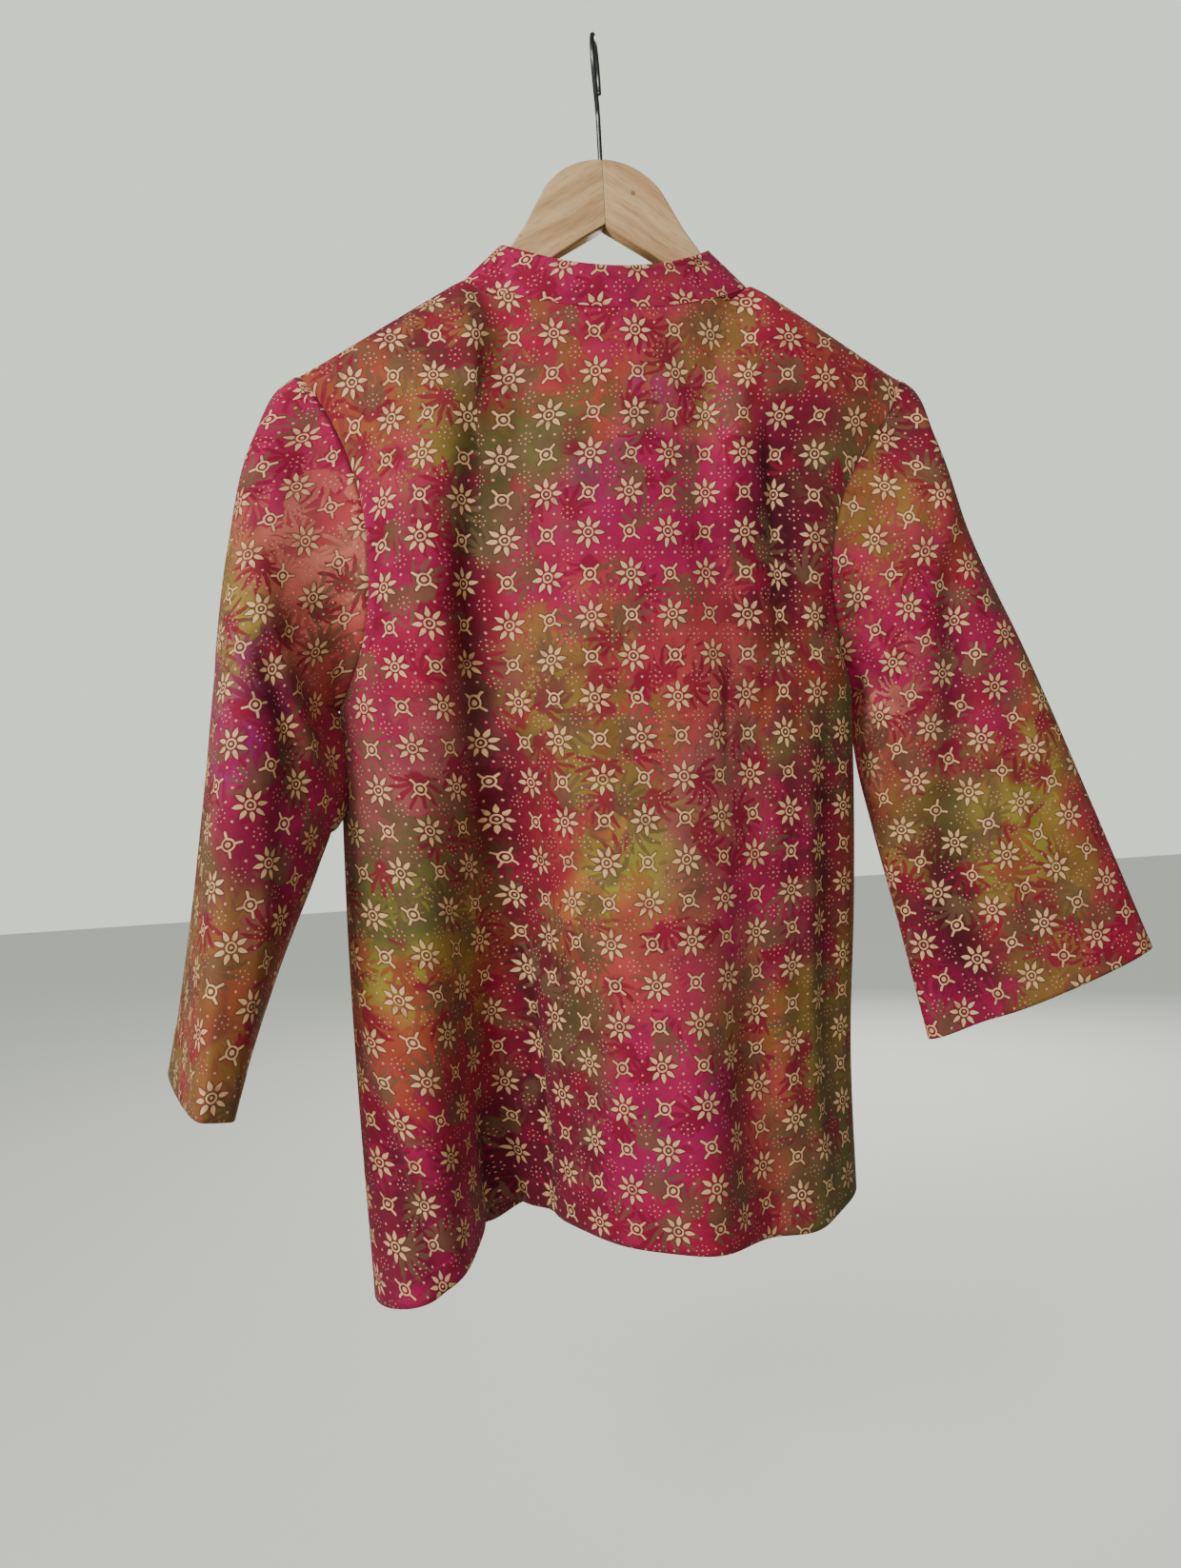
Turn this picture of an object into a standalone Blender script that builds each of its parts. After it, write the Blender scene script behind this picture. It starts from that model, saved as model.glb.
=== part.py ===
"""Batik shirt with a stand collar and three-quarter sleeves, hung on a wooden hanger. Metres, +Z up.

The origin is the inside top of the hook, where it sits on a rod. The shirt's back faces +Y and the
wearer's left is +X. The cloth hangs open and hollow, with a twist and one deep fold in the back.
"""

import math
from collections import namedtuple

import bmesh
import bpy
import numpy as np
from mathutils import Vector

# Cloth
WALL = 0.0015
GAP = 0.0003
CORNER_GAP = 0.0020  # between the middles of two walls that meet at a corner, such as at an armhole

SHOULDER_GAP = 0.0005  # from the middle of the shoulder seam to each panel's edge

# Shoulders, neck and armholes
NECK_HALF = 0.098
NECK_SIDE_Z = -0.166
NAPE_Y, NAPE_Z = 0.031, -0.1940
THROAT_Y, THROAT_Z = -0.060, -0.243
SHOULDER_SLOPE = math.radians(30.5)
SHOULDER_HALF = 0.208
SHOULDER_Z = NECK_SIDE_Z - (SHOULDER_HALF - NECK_HALF) * math.tan(SHOULDER_SLOPE)
UNDERARM_Z = -0.446

# Collar band
BAND_TOP_HALF = 0.072
BAND_TOP_SIDE_Z = -0.1415
BAND_TOP_NAPE = (0.034, -0.1675)
BAND_TOP_THROAT = (-0.062, -0.2120)
BAND_OPENING = 0.004  # half the gap between the band's ends at the centre front

# Placket and buttons
PLACKET_WIDTH = 0.030
BUTTON_COUNT = 7
BUTTON_RADIUS = 0.0057
BUTTON_THICK = 0.0022
BUTTON_TOP_Z, BUTTON_LOW_Z = -0.2720, -0.7220  # the top and lowest buttons' heights

# Hanger
ARM_HALF_THICK = 0.006
ARM_END_X = 0.182
MITRE_GAP = 0.0003
CROWN_RADIUS = 0.050
TIP_RADIUS = 0.009
WIRE_RADIUS = 0.0016
HOOK_INNER_RADIUS = 0.019
HOOK_SWIVEL = math.radians(16.0)
WOOD_TOP_Z = -0.0825
WOOD_NOTCH_Z = -0.1285

# Grid sizes
BODY_ROWS_LOW, BODY_ROWS_HIGH = 11, 12
BACK_COLUMNS = 34
FRONT_COLUMNS = 15
SLEEVE_ROUND, SLEEVE_ROWS = 26, 15
BAND_COLUMNS, BAND_ROWS = 36, 2

# Sections of the hanging body below the underarm: how far it reaches to each side, to the back
# and to the front, where its side seams lie, and how far it has turned about its own middle.
BodyRow = namedtuple("BodyRow", "z left right side_y back front turn")
BODY = [
    BodyRow(-0.446, 0.194, -0.168, -0.026, 0.040, -0.082, 0.0),
    BodyRow(-0.520, 0.196, -0.168, -0.030, 0.040, -0.092, 1.0),
    BodyRow(-0.600, 0.197, -0.167, -0.034, 0.039, -0.102, 3.0),
    BodyRow(-0.700, 0.196, -0.163, -0.038, 0.038, -0.112, 5.5),
    BodyRow(-0.840, 0.192, -0.166, -0.042, 0.036, -0.122, 8.0),
]
# The hem hangs lower on the lobes than in the deep fold.
HemPlace = namedtuple("HemPlace", "across back front")
HEM = [
    HemPlace(-1.0, -0.812, -0.812),
    HemPlace(-0.7, -0.825, -0.816),
    HemPlace(-0.3, -0.820, -0.818),
    HemPlace(0.1, -0.812, -0.820),
    HemPlace(0.45, -0.806, -0.819),
    HemPlace(0.66, -0.823, -0.822),
    HemPlace(1.0, -0.842, -0.842),
]
TURN_CENTRE = (0.012, -0.040)

# The armhole seams, from the shoulder point down to the underarm.
ArmholeRow = namedtuple("ArmholeRow", "z left right back_y front_y")
ARMHOLE = [
    ArmholeRow(-0.2308, 0.208, -0.208, 0.0, 0.0),
    ArmholeRow(-0.236, 0.2045, -0.205, 0.007, -0.008),
    ArmholeRow(-0.252, 0.1945, -0.197, 0.0105, -0.016),
    ArmholeRow(-0.276, 0.1830, -0.180, 0.011, -0.024),
    ArmholeRow(-0.302, 0.1750, -0.162, 0.014, -0.035),
    ArmholeRow(-0.355, 0.1700, -0.146, 0.015, -0.053),
    ArmholeRow(-0.400, 0.1745, -0.149, 0.006, -0.056),
    ArmholeRow(-0.428, 0.1840, -0.158, -0.008, -0.046),
    ArmholeRow(-0.446, 0.194, -0.168, -0.026, -0.026),
]

# Folds that run down the body: middle and half-width across the body as shares of its own half-width,
# how deep at the hem, and the heights where each starts and is full. Positive depth pushes inwards.
Fold = namedtuple("Fold", "at half_width depth start full")
BACK_FOLDS = [
    Fold(0.45, 0.235, 0.112, -0.205, -0.880),
    Fold(-0.50, 0.15, 0.013, -0.235, -0.380),
    Fold(-0.18, 0.16, -0.012, -0.480, -0.800),
    Fold(-0.84, 0.13, 0.010, -0.450, -0.860),
]
FRONT_FOLDS = [
    Fold(0.52, 0.17, 0.036, -0.300, -0.860),
    Fold(-0.48, 0.19, 0.040, -0.280, -0.860),
    Fold(0.82, 0.12, -0.012, -0.500, -0.820),
    Fold(-0.80, 0.12, 0.016, -0.520, -0.820),
]

# How far a sleeve runs straight out from the armhole seam, and drops meanwhile, before it hangs, and
# how much more it drops at the shoulder point.
CAP_REACH, CAP_DROP, CAP_SLOPE = 0.010, 0.0012, 0.0036

# Sleeve sections from the armhole to the cuff: the outer and inner ends of each section's chord, half
# its thickness across the chord, how far the back half leans out along X, and a power that is 1 for an
# ellipse and less where the section's back and front ends are blunter.
SleeveRow = namedtuple(
    "SleeveRow", "outer_x outer_y outer_z inner_x inner_y inner_z half_depth lean blunt"
)
SLEEVE_LEFT = [
    SleeveRow(0.2390, 0.000, -0.272, 0.2030, -0.024, -0.466, 0.046, 0.000, 1.00),
    SleeveRow(0.2585, 0.002, -0.345, 0.1990, -0.012, -0.512, 0.056, -0.002, 0.86),
    SleeveRow(0.2725, 0.006, -0.440, 0.2135, -0.006, -0.553, 0.066, -0.006, 0.66),
    SleeveRow(0.2880, 0.014, -0.560, 0.2410, 0.000, -0.612, 0.074, -0.014, 0.46),
    SleeveRow(0.3050, 0.022, -0.684, 0.2780, 0.000, -0.692, 0.080, -0.022, 0.32),
]
SLEEVE_RIGHT = [
    SleeveRow(-0.2280, 0.000, -0.268, -0.1775, -0.034, -0.468, 0.044, 0.000, 1.00),
    SleeveRow(-0.2530, 0.000, -0.342, -0.1810, -0.040, -0.502, 0.042, 0.000, 1.00),
    SleeveRow(-0.2895, 0.004, -0.425, -0.1890, -0.040, -0.547, 0.034, 0.000, 1.00),
    SleeveRow(-0.3360, 0.010, -0.545, -0.2010, -0.030, -0.620, 0.026, 0.000, 1.00),
    SleeveRow(-0.3720, 0.016, -0.644, -0.2110, -0.012, -0.703, 0.020, 0.000, 1.00),
]
# Folds along a sleeve: where round it (0 outer, 0.25 back, 0.5 inner), half-width, depth, and the
# shares of the sleeve's length where each starts and is full.
SLEEVE_LEFT_FOLDS = [
    Fold(0.34, 0.090, 0.004, 0.20, 0.55),
    Fold(0.72, 0.080, 0.012, 0.30, 0.70),
]
SLEEVE_RIGHT_FOLDS = [
    Fold(0.37, 0.050, 0.010, 0.35, 0.90),
    Fold(0.70, 0.070, 0.008, 0.30, 0.80),
]

COTTON = ("batik_cotton", (0.36, 0.05, 0.12), 0.85, 0.0)
BUTTON = ("button", (0.30, 0.05, 0.10), 0.35, 0.0)
WOOD = ("hanger_wood", (0.62, 0.43, 0.25), 0.5, 0.0)
CHROME = ("hook_chrome", (0.75, 0.75, 0.75), 0.15, 1.0)


def material(name, colour, roughness, metallic):
    """One Principled material of that name, made the first time it is asked for."""
    made = bpy.data.materials.get(name) or bpy.data.materials.new(name)
    made.use_nodes = True
    shader = made.node_tree.nodes["Principled BSDF"]
    shader.inputs["Base Color"].default_value = (*colour, 1.0)
    shader.inputs["Roughness"].default_value = roughness
    shader.inputs["Metallic"].default_value = metallic
    return made


def add_object(name, mesh, finish, collection):
    made = bpy.data.objects.new(name, mesh)
    made.data.materials.append(material(*finish))
    collection.objects.link(made)
    return made


def smooth_read(places, values, at):
    """A smooth curve through the table's values, read at each place in at."""
    places, values = np.asarray(places, float), np.asarray(values, float)
    if places[0] > places[-1]:
        places, values = places[::-1], values[::-1]
    slopes = np.gradient(values, places)
    at = np.clip(at, places[0], places[-1])
    i = np.clip(np.searchsorted(places, at, side="right") - 1, 0, len(places) - 2)
    step = places[i + 1] - places[i]
    t = (at - places[i]) / step
    return (
        (1 + 2 * t) * (1 - t) ** 2 * values[i]
        + t * (1 - t) ** 2 * step * slopes[i]
        + t**2 * (3 - 2 * t) * values[i + 1]
        + t**2 * (t - 1) * step * slopes[i + 1]
    )


def column(rows, name, at):
    return smooth_read([row.z for row in rows], [getattr(row, name) for row in rows], at)


def ease(x):
    x = np.clip(x, 0.0, 1.0)
    return x * x * (3 - 2 * x)


def fold_depth(folds, across, along):
    """How far the folds push a point inwards. along falls from each fold's start to where it is full."""
    total = 0.0
    for fold in folds:
        grown = ease((along - fold.start) / (fold.full - fold.start))
        shape = np.exp(-(((across - fold.at) / fold.half_width) ** 2))
        total = total + fold.depth * grown * shape
    return total


def neck_edge(x, back):
    """(y, z) of the panel's top edge at x: the shoulder seam, and the neckline between the shoulders."""
    x = abs(x)
    if x >= NECK_HALF:
        return 0.0, NECK_SIDE_Z - (x - NECK_HALF) * math.tan(SHOULDER_SLOPE)
    reach = 1 - (x / NECK_HALF) ** 2
    if back:
        return NAPE_Y * math.sqrt(reach), NECK_SIDE_Z + (NAPE_Z - NECK_SIDE_Z) * reach**0.75
    return THROAT_Y * math.sqrt(reach), NECK_SIDE_Z + (THROAT_Z - NECK_SIDE_Z) * reach**0.9


def lower_point(across, drop, back):
    """A point from the underarm, drop 0, to the hem. across runs from -1, the right side, to 1."""
    shares = [place.across for place in HEM]
    hem = smooth_read(shares, [place.back if back else place.front for place in HEM], across)
    z = UNDERARM_Z + (hem - UNDERARM_Z) * drop
    left, right = column(BODY, "left", z), column(BODY, "right", z)
    side = column(BODY, "side_y", z)
    reach = column(BODY, "back" if back else "front", z)
    folds = BACK_FOLDS if back else FRONT_FOLDS
    full = math.sqrt(max(0.0, 1 - abs(across) ** 3.2))
    inwards = fold_depth(folds, across, z) * full
    x = (left + right) / 2 + (left - right) / 2 * across
    y = side + (reach - side) * full + (-inwards if back else inwards)
    turn = math.radians(column(BODY, "turn", z))
    dx, dy = x - TURN_CENTRE[0], y - TURN_CENTRE[1]
    x = TURN_CENTRE[0] + dx * math.cos(turn) - dy * math.sin(turn)
    y = TURN_CENTRE[1] + dx * math.sin(turn) + dy * math.cos(turn)
    return x, y, z


def upper_point(across, rise, back):
    """A point between the underarm, rise 0, and the shoulder seam or neckline, rise 1."""
    edge_z = UNDERARM_Z + (SHOULDER_Z - UNDERARM_Z) * rise
    left, right = column(ARMHOLE, "left", edge_z), column(ARMHOLE, "right", edge_z)
    x = (left + right) / 2 + (left - right) / 2 * across
    top_x = SHOULDER_HALF * across
    top_y, top_z = neck_edge(top_x, back)
    z = UNDERARM_Z + (top_z - UNDERARM_Z) * rise
    edge_y = column(ARMHOLE, "back_y" if back else "front_y", edge_z)
    reach = column(BODY, "back" if back else "front", UNDERARM_Z)
    full = max(0.0, 1 - abs(across) ** 3.2) ** (0.5 + 0.5 * ease(rise / 0.6))
    inwards = fold_depth(BACK_FOLDS if back else FRONT_FOLDS, across, z) * full
    bulge = reach + (-inwards if back else inwards)
    ridge = math.sqrt(max(0.0, 1 - rise**7))
    hung = edge_y + (bulge - edge_y) * full
    over_shoulder = edge_y + (hung - edge_y) * ridge
    into_neck = hung + (top_y - hung) * ease(rise)
    neck_share = ease((NECK_HALF * 1.12 - abs(top_x)) / (NECK_HALF * 0.40))
    y = over_shoulder * (1 - neck_share) + into_neck * neck_share
    if rise == 1.0:
        y = top_y + (SHOULDER_GAP if back else -SHOULDER_GAP)
    return x, y, z


def body_point(across, rise, back):
    """rise is -1 at the hem, 0 at the underarm and 1 at the shoulder seam."""
    if rise <= 0.0:
        x, y, z = lower_point(across, -rise, back)
    else:
        x, y, z = upper_point(across, rise, back)
    return Vector((x, y + (GAP / 2 if back else -GAP / 2), z))


def body_rises():
    low = np.linspace(-1.0, 0.0, BODY_ROWS_LOW + 1)
    high = np.sin(np.linspace(0.0, math.pi / 2, BODY_ROWS_HIGH + 1))
    return [float(r) for r in (*low, *high[1:])]


def spread(start, end, count):
    """Shares across the body from start to end, closer together towards the sides."""
    angles = np.linspace(math.asin(start), math.asin(end), count + 1)
    shares = np.sin(angles)
    for neck in (-NECK_HALF / SHOULDER_HALF, NECK_HALF / SHOULDER_HALF):
        if min(start, end) < neck < max(start, end):
            shares[np.abs(shares - neck).argmin()] = neck
    return [float(s) for s in shares]


def grid_mesh(name, points, round_closed=False):
    """A sheet of quads through rows of points, facing out of the shirt."""
    mesh = bmesh.new()
    rows = [[mesh.verts.new(p) for p in row] for row in points]
    columns = len(rows[0])
    for low, high in zip(rows, rows[1:]):
        for i in range(columns if round_closed else columns - 1):
            j = (i + 1) % columns
            mesh.faces.new((low[i], low[j], high[j], high[i]))
    made = bpy.data.meshes.new(name)
    mesh.to_mesh(made)
    mesh.free()
    made.shade_smooth()
    return made


def add_cloth(name, points, collection, finish=COTTON, round_closed=False, outwards=0.0):
    made = add_object(name, grid_mesh(name, points, round_closed), finish, collection)
    wall = made.modifiers.new("Wall", "SOLIDIFY")
    wall.thickness = WALL
    wall.offset = outwards
    wall.use_even_offset = True
    return made


def back_panel(collection):
    shares = spread(1.0, -1.0, BACK_COLUMNS)
    points = [[body_point(s, r, True) for s in shares] for r in body_rises()]
    return add_cloth("back", [row[::-1] for row in points], collection)


def front_panel(name, side, collection):
    """side is 1 for the wearer's left and -1 for the right. The panel stops at the centre front."""
    shares = spread(0.0, float(side), FRONT_COLUMNS)
    points = [[body_point(s, r, False) for s in shares] for r in body_rises()]
    for row in points:
        row[0].x += side * GAP / 2
    if side < 0:
        points = [row[::-1] for row in points]
    return add_cloth(name, points, collection)


def front_normal(across, rise):
    """The outward direction of the front's surface there."""
    step = 0.01
    low, high = max(-1.0, rise - step), min(1.0, rise + step)
    along = body_point(across, high, False) - body_point(across, low, False)
    over = body_point(across + step, rise, False) - body_point(across - step, rise, False)
    normal = over.cross(along).normalized()
    return normal if normal.y < 0 else -normal


def placket_point(offset_x, rise, lift):
    half = SHOULDER_HALF if rise > 0 else 0.19
    share = offset_x / half
    return body_point(share, rise, False) + front_normal(share, rise) * lift


def placket(collection):
    lift = WALL + GAP
    offsets = np.linspace(-PLACKET_WIDTH / 2, PLACKET_WIDTH / 2, 5)
    rises = [r for r in body_rises() if r < 0.985]
    points = [[placket_point(float(x), r, lift) for x in offsets] for r in rises]
    return add_cloth("placket", points, collection)


def buttons(collection):
    lift = 1.5 * WALL + 2 * GAP + BUTTON_THICK / 2
    rises = np.linspace(-1.0, 1.0, 401)
    levels = [placket_point(0.0, rise, lift).z for rise in rises]
    heights = np.linspace(BUTTON_LOW_Z, BUTTON_TOP_Z, BUTTON_COUNT)
    for i in range(BUTTON_COUNT):
        rise = float(np.interp(heights[i], levels, rises))
        centre = placket_point(0.0, rise, lift)
        bpy.ops.mesh.primitive_cylinder_add(vertices=16, radius=BUTTON_RADIUS, depth=BUTTON_THICK)
        made = bpy.context.object
        made.name = f"button_{i + 1}"
        made.data.materials.append(material(*BUTTON))
        made.rotation_mode = "QUATERNION"
        made.rotation_quaternion = front_normal(0.0, rise).to_track_quat("Z", "Y")
        made.location = centre
        edge = made.modifiers.new("Rounded edge", "BEVEL")
        edge.width = 0.0005
        edge.segments = 1
        for other in made.users_collection:
            other.objects.unlink(made)
        collection.objects.link(made)


def band_ring(half, side_z, nape, throat, angle):
    """A ring round the neck: angle 90 degrees is the nape and 270 the centre front."""
    reach_y, reach_z = nape if math.sin(angle) > 0 else throat
    share = abs(math.sin(angle))
    power = 1.5 if math.sin(angle) > 0 else 1.8
    return Vector((half * math.cos(angle), reach_y * share, side_z + (reach_z - side_z) * share**power))


def collar(collection):
    opening = BAND_OPENING / NECK_HALF
    angles = np.linspace(-math.pi / 2 + opening, 1.5 * math.pi - opening, BAND_COLUMNS + 1)
    rows = [[] for _ in range(BAND_ROWS + 1)]
    for angle in angles:
        foot = band_ring(NECK_HALF, NECK_SIDE_Z, (NAPE_Y, NAPE_Z), (THROAT_Y, THROAT_Z), angle)
        top = band_ring(BAND_TOP_HALF, BAND_TOP_SIDE_Z, BAND_TOP_NAPE, BAND_TOP_THROAT, angle)
        foot += (top - foot).normalized() * CORNER_GAP
        for i, row in enumerate(rows):
            row.append(foot.lerp(top, i / BAND_ROWS))
    return add_cloth("collar", rows, collection)


def armhole_point(round_share, side):
    """A point of the armhole seam: 0 is the shoulder point, 0.5 the underarm, 0.25 the back."""
    down = (1 - math.cos(2 * math.pi * round_share)) / 2
    z = SHOULDER_Z + (UNDERARM_Z - SHOULDER_Z) * down
    x = column(ARMHOLE, "left" if side > 0 else "right", z)
    y = column(ARMHOLE, "back_y" if round_share <= 0.5 else "front_y", z)
    return Vector((x, y, z))


def sleeve_section(row, round_share):
    angle = 2 * math.pi * round_share
    outer = Vector((row.outer_x, row.outer_y, row.outer_z))
    inner = Vector((row.inner_x, row.inner_y, row.inner_z))
    over = Vector((row.lean, row.half_depth, 0.0))
    across = math.copysign(abs(math.cos(angle)) ** row.blunt, math.cos(angle))
    return (outer + inner) / 2 + (outer - inner) / 2 * across + over * math.sin(angle)


def sleeve(name, side, rows, folds, collection):
    lines = []
    for i in range(SLEEVE_ROUND):
        share = i / SLEEVE_ROUND
        seam = armhole_point(share, side)
        start = seam + Vector((side * CORNER_GAP, 0.0, 0.0))
        drop = CAP_DROP + CAP_SLOPE * max(0.0, math.cos(2 * math.pi * share)) ** 2
        level = seam + Vector((side * CAP_REACH, 0.0, -drop))
        stops = [start, level] + [sleeve_section(row, share) for row in rows]
        lengths = np.cumsum([0.0] + [(b - a).length for a, b in zip(stops, stops[1:])])
        lengths /= lengths[-1]
        shares = np.linspace(0.0, 1.0, SLEEVE_ROWS + 1)
        lines.append([smooth_read(lengths, [p[k] for p in stops], shares) for k in range(3)])
    centre = np.mean([[line[k] for k in range(3)] for line in lines], axis=0)
    points = []
    for j in range(SLEEVE_ROWS + 1):
        ring = []
        for i, line in enumerate(lines):
            point = Vector([line[k][j] for k in range(3)])
            inwards = (Vector(centre[:, j]) - point).normalized()
            push = sum(
                float(fold_depth([fold], i / SLEEVE_ROUND, j / SLEEVE_ROWS)) for fold in folds
            )
            ring.append(point + inwards * push)
        points.append(ring if side < 0 else ring[::-1])
    return add_cloth(name, [row[::-1] for row in points[::-1]], collection, round_closed=True)


def arm_outline():
    """The right-hand half's outline in X and Z: up over the crown, along the shoulder and back below."""
    crown = [
        (CROWN_RADIUS * math.sin(a), WOOD_TOP_Z - CROWN_RADIUS * (1 - math.cos(a)))
        for a in np.linspace(0.0, math.radians(54.0), 8)
    ]
    top = [(0.055, -0.1290), (0.070, -0.1500), (0.090, -0.1710), (0.104, -0.1790), (0.140, -0.1975)]
    tip_x, tip_z = ARM_END_X - TIP_RADIUS, -0.2270
    tip = [
        (tip_x + TIP_RADIUS * math.sin(a), tip_z + TIP_RADIUS * math.cos(a))
        for a in np.linspace(math.radians(20.0), math.radians(200.0), 7)
    ]
    below = [(0.140, -0.2160), (0.100, -0.1940), (0.062, -0.1670), (0.030, -0.1460)]
    return crown + top + tip + below + [(0.0, WOOD_NOTCH_Z)]


def hanger_arm(name, side, collection):
    mesh = bmesh.new()
    ring = [
        mesh.verts.new((side * (x + MITRE_GAP / 2), -ARM_HALF_THICK, z)) for x, z in arm_outline()
    ]
    face = mesh.faces.new(ring)
    made = bmesh.ops.extrude_face_region(mesh, geom=[face])
    moved = [v for v in made["geom"] if isinstance(v, bmesh.types.BMVert)]
    bmesh.ops.translate(mesh, verts=moved, vec=(0.0, 2 * ARM_HALF_THICK, 0.0))
    bmesh.ops.recalc_face_normals(mesh, faces=mesh.faces)
    data = bpy.data.meshes.new(name)
    mesh.to_mesh(data)
    mesh.free()
    arm = add_object(name, data, WOOD, collection)
    edge = arm.modifiers.new("Eased edges", "BEVEL")
    edge.width = 0.0022
    edge.segments = 2
    edge.limit_method = "ANGLE"
    edge.angle_limit = math.radians(50.0)
    return arm


def hook(collection):
    """A wire hook: over the rod, down the back of it, and to the top of the wood."""
    radius = HOOK_INNER_RADIUS + WIRE_RADIUS
    middle_z = -HOOK_INNER_RADIUS
    path = [
        (radius * math.cos(a), middle_z + radius * math.sin(a))
        for a in np.radians(np.linspace(195.0, -32.0, 24))
    ]
    path += [(0.0110, -0.0385), (0.0050, -0.0430), (0.0012, -0.0490), (0.0, -0.0570)]
    path += [(0.0, -0.0690), (0.0, WOOD_TOP_Z + 0.0004)]
    curve = bpy.data.curves.new("hook", "CURVE")
    curve.dimensions = "3D"
    curve.bevel_depth = WIRE_RADIUS
    curve.bevel_resolution = 2
    curve.use_fill_caps = True
    line = curve.splines.new("POLY")
    line.points.add(len(path) - 1)
    for point, (out, z) in zip(line.points, path):
        point.co = (out * math.sin(HOOK_SWIVEL), out * math.cos(HOOK_SWIVEL), z, 1.0)
    made = bpy.data.objects.new("hook", curve)
    curve.materials.append(material(*CHROME))
    collection.objects.link(made)
    return made


def main():
    for old in list(bpy.data.objects):
        bpy.data.objects.remove(old, do_unlink=True)
    shirt = bpy.data.collections.new("Batik shirt on a hanger")
    bpy.context.scene.collection.children.link(shirt)
    back_panel(shirt)
    front_panel("front_left", 1, shirt)
    front_panel("front_right", -1, shirt)
    placket(shirt)
    buttons(shirt)
    collar(shirt)
    sleeve("sleeve_left", 1, SLEEVE_LEFT, SLEEVE_LEFT_FOLDS, shirt)
    sleeve("sleeve_right", -1, SLEEVE_RIGHT, SLEEVE_RIGHT_FOLDS, shirt)
    hanger_arm("hanger_arm_left", 1, shirt)
    hanger_arm("hanger_arm_right", -1, shirt)
    hook(shirt)


main()
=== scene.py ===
import math
from collections import namedtuple

import bmesh
import bpy
import numpy as np
from mathutils import Matrix, Vector


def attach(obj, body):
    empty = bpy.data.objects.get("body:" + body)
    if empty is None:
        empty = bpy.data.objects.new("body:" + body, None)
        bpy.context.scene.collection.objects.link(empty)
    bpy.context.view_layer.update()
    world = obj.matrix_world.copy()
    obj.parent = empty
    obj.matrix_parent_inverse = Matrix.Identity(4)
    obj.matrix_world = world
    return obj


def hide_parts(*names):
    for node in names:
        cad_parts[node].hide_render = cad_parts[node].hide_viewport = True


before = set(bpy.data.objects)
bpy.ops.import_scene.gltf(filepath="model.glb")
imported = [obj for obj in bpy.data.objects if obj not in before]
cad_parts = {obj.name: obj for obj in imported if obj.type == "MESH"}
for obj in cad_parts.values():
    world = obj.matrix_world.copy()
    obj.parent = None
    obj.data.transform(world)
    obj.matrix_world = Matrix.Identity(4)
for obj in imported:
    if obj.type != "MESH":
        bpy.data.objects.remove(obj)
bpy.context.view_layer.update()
print("stage: frame loaded")

# Shared sizes in metres, in the frame's own axes: the back faces +Y and the wearer's left is +X.
size = {
    "cloth": 0.0006,
    "gap": 0.0003,
    "wall": 0.0015,
    "neckHalf": 0.098,
    "neckSide": -0.166,
    "nape": (0.031, -0.1940),
    "throat": (-0.060, -0.243),
    "slope": math.radians(30.5),
    "shoulderHalf": 0.208,
    "underarm": -0.446,
    "seamLift": 0.0006,
    "shoulderGap": 0.0005,
}
size["shoulder"] = size["neckSide"] - (size["shoulderHalf"] - size["neckHalf"]) * math.tan(size["slope"])


def linear(r, g, b):
    return tuple(
        v / 12.92 if v <= 0.04045 else ((v + 0.055) / 1.055) ** 2.4
        for v in (r / 255, g / 255, b / 255)
    )


def tone(r, g, b):
    return (*linear(r, g, b), 1.0)


# The dyes, by the name each has in the tables of patches. Maroon and moss also serve as painted shade, where
# their patches lie along folds and shaded sides.
dyes = {
    "crimson": linear(150, 24, 52),
    "magenta": linear(154, 22, 70),
    "purple": linear(136, 22, 94),
    "maroonAndShade": linear(104, 24, 42),
    "salmon": linear(168, 62, 60),
    "rust": linear(150, 66, 46),
    "orange": linear(164, 94, 52),
    "olive": linear(122, 102, 44),
    "lime": linear(142, 136, 50),
    "mossAndShade": linear(92, 86, 46),
    "mauve": linear(140, 74, 72),
    "apricot": linear(198, 118, 98),
}


# Curves through tables, and the surfaces of the hanging cloth
def readTable(places, values, at):
    places, values = np.asarray(places, float), np.asarray(values, float)
    if places[0] > places[-1]:
        places, values = places[::-1], values[::-1]
    slopes = np.gradient(values, places)
    at = np.clip(at, places[0], places[-1])
    i = np.clip(np.searchsorted(places, at, side="right") - 1, 0, len(places) - 2)
    step = places[i + 1] - places[i]
    t = (at - places[i]) / step
    return (
        (1 + 2 * t) * (1 - t) ** 2 * values[i]
        + t * (1 - t) ** 2 * step * slopes[i]
        + t**2 * (3 - 2 * t) * values[i + 1]
        + t**2 * (t - 1) * step * slopes[i + 1]
    )


def readColumn(rows, name, at):
    return readTable([row.z for row in rows], [getattr(row, name) for row in rows], at)


def ease(x):
    x = np.clip(x, 0.0, 1.0)
    return x * x * (3 - 2 * x)


# A fold is a trough at one share of the width. It grows along the cloth from start to full.
Fold = namedtuple("Fold", "at halfWidth depth start full")


def foldDepth(folds, across, along):
    total = 0.0
    for fold in folds:
        grown = ease((along - fold.start) / (fold.full - fold.start))
        total = total + fold.depth * grown * np.exp(-(((across - fold.at) / fold.halfWidth) ** 2))
    return total


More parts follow.
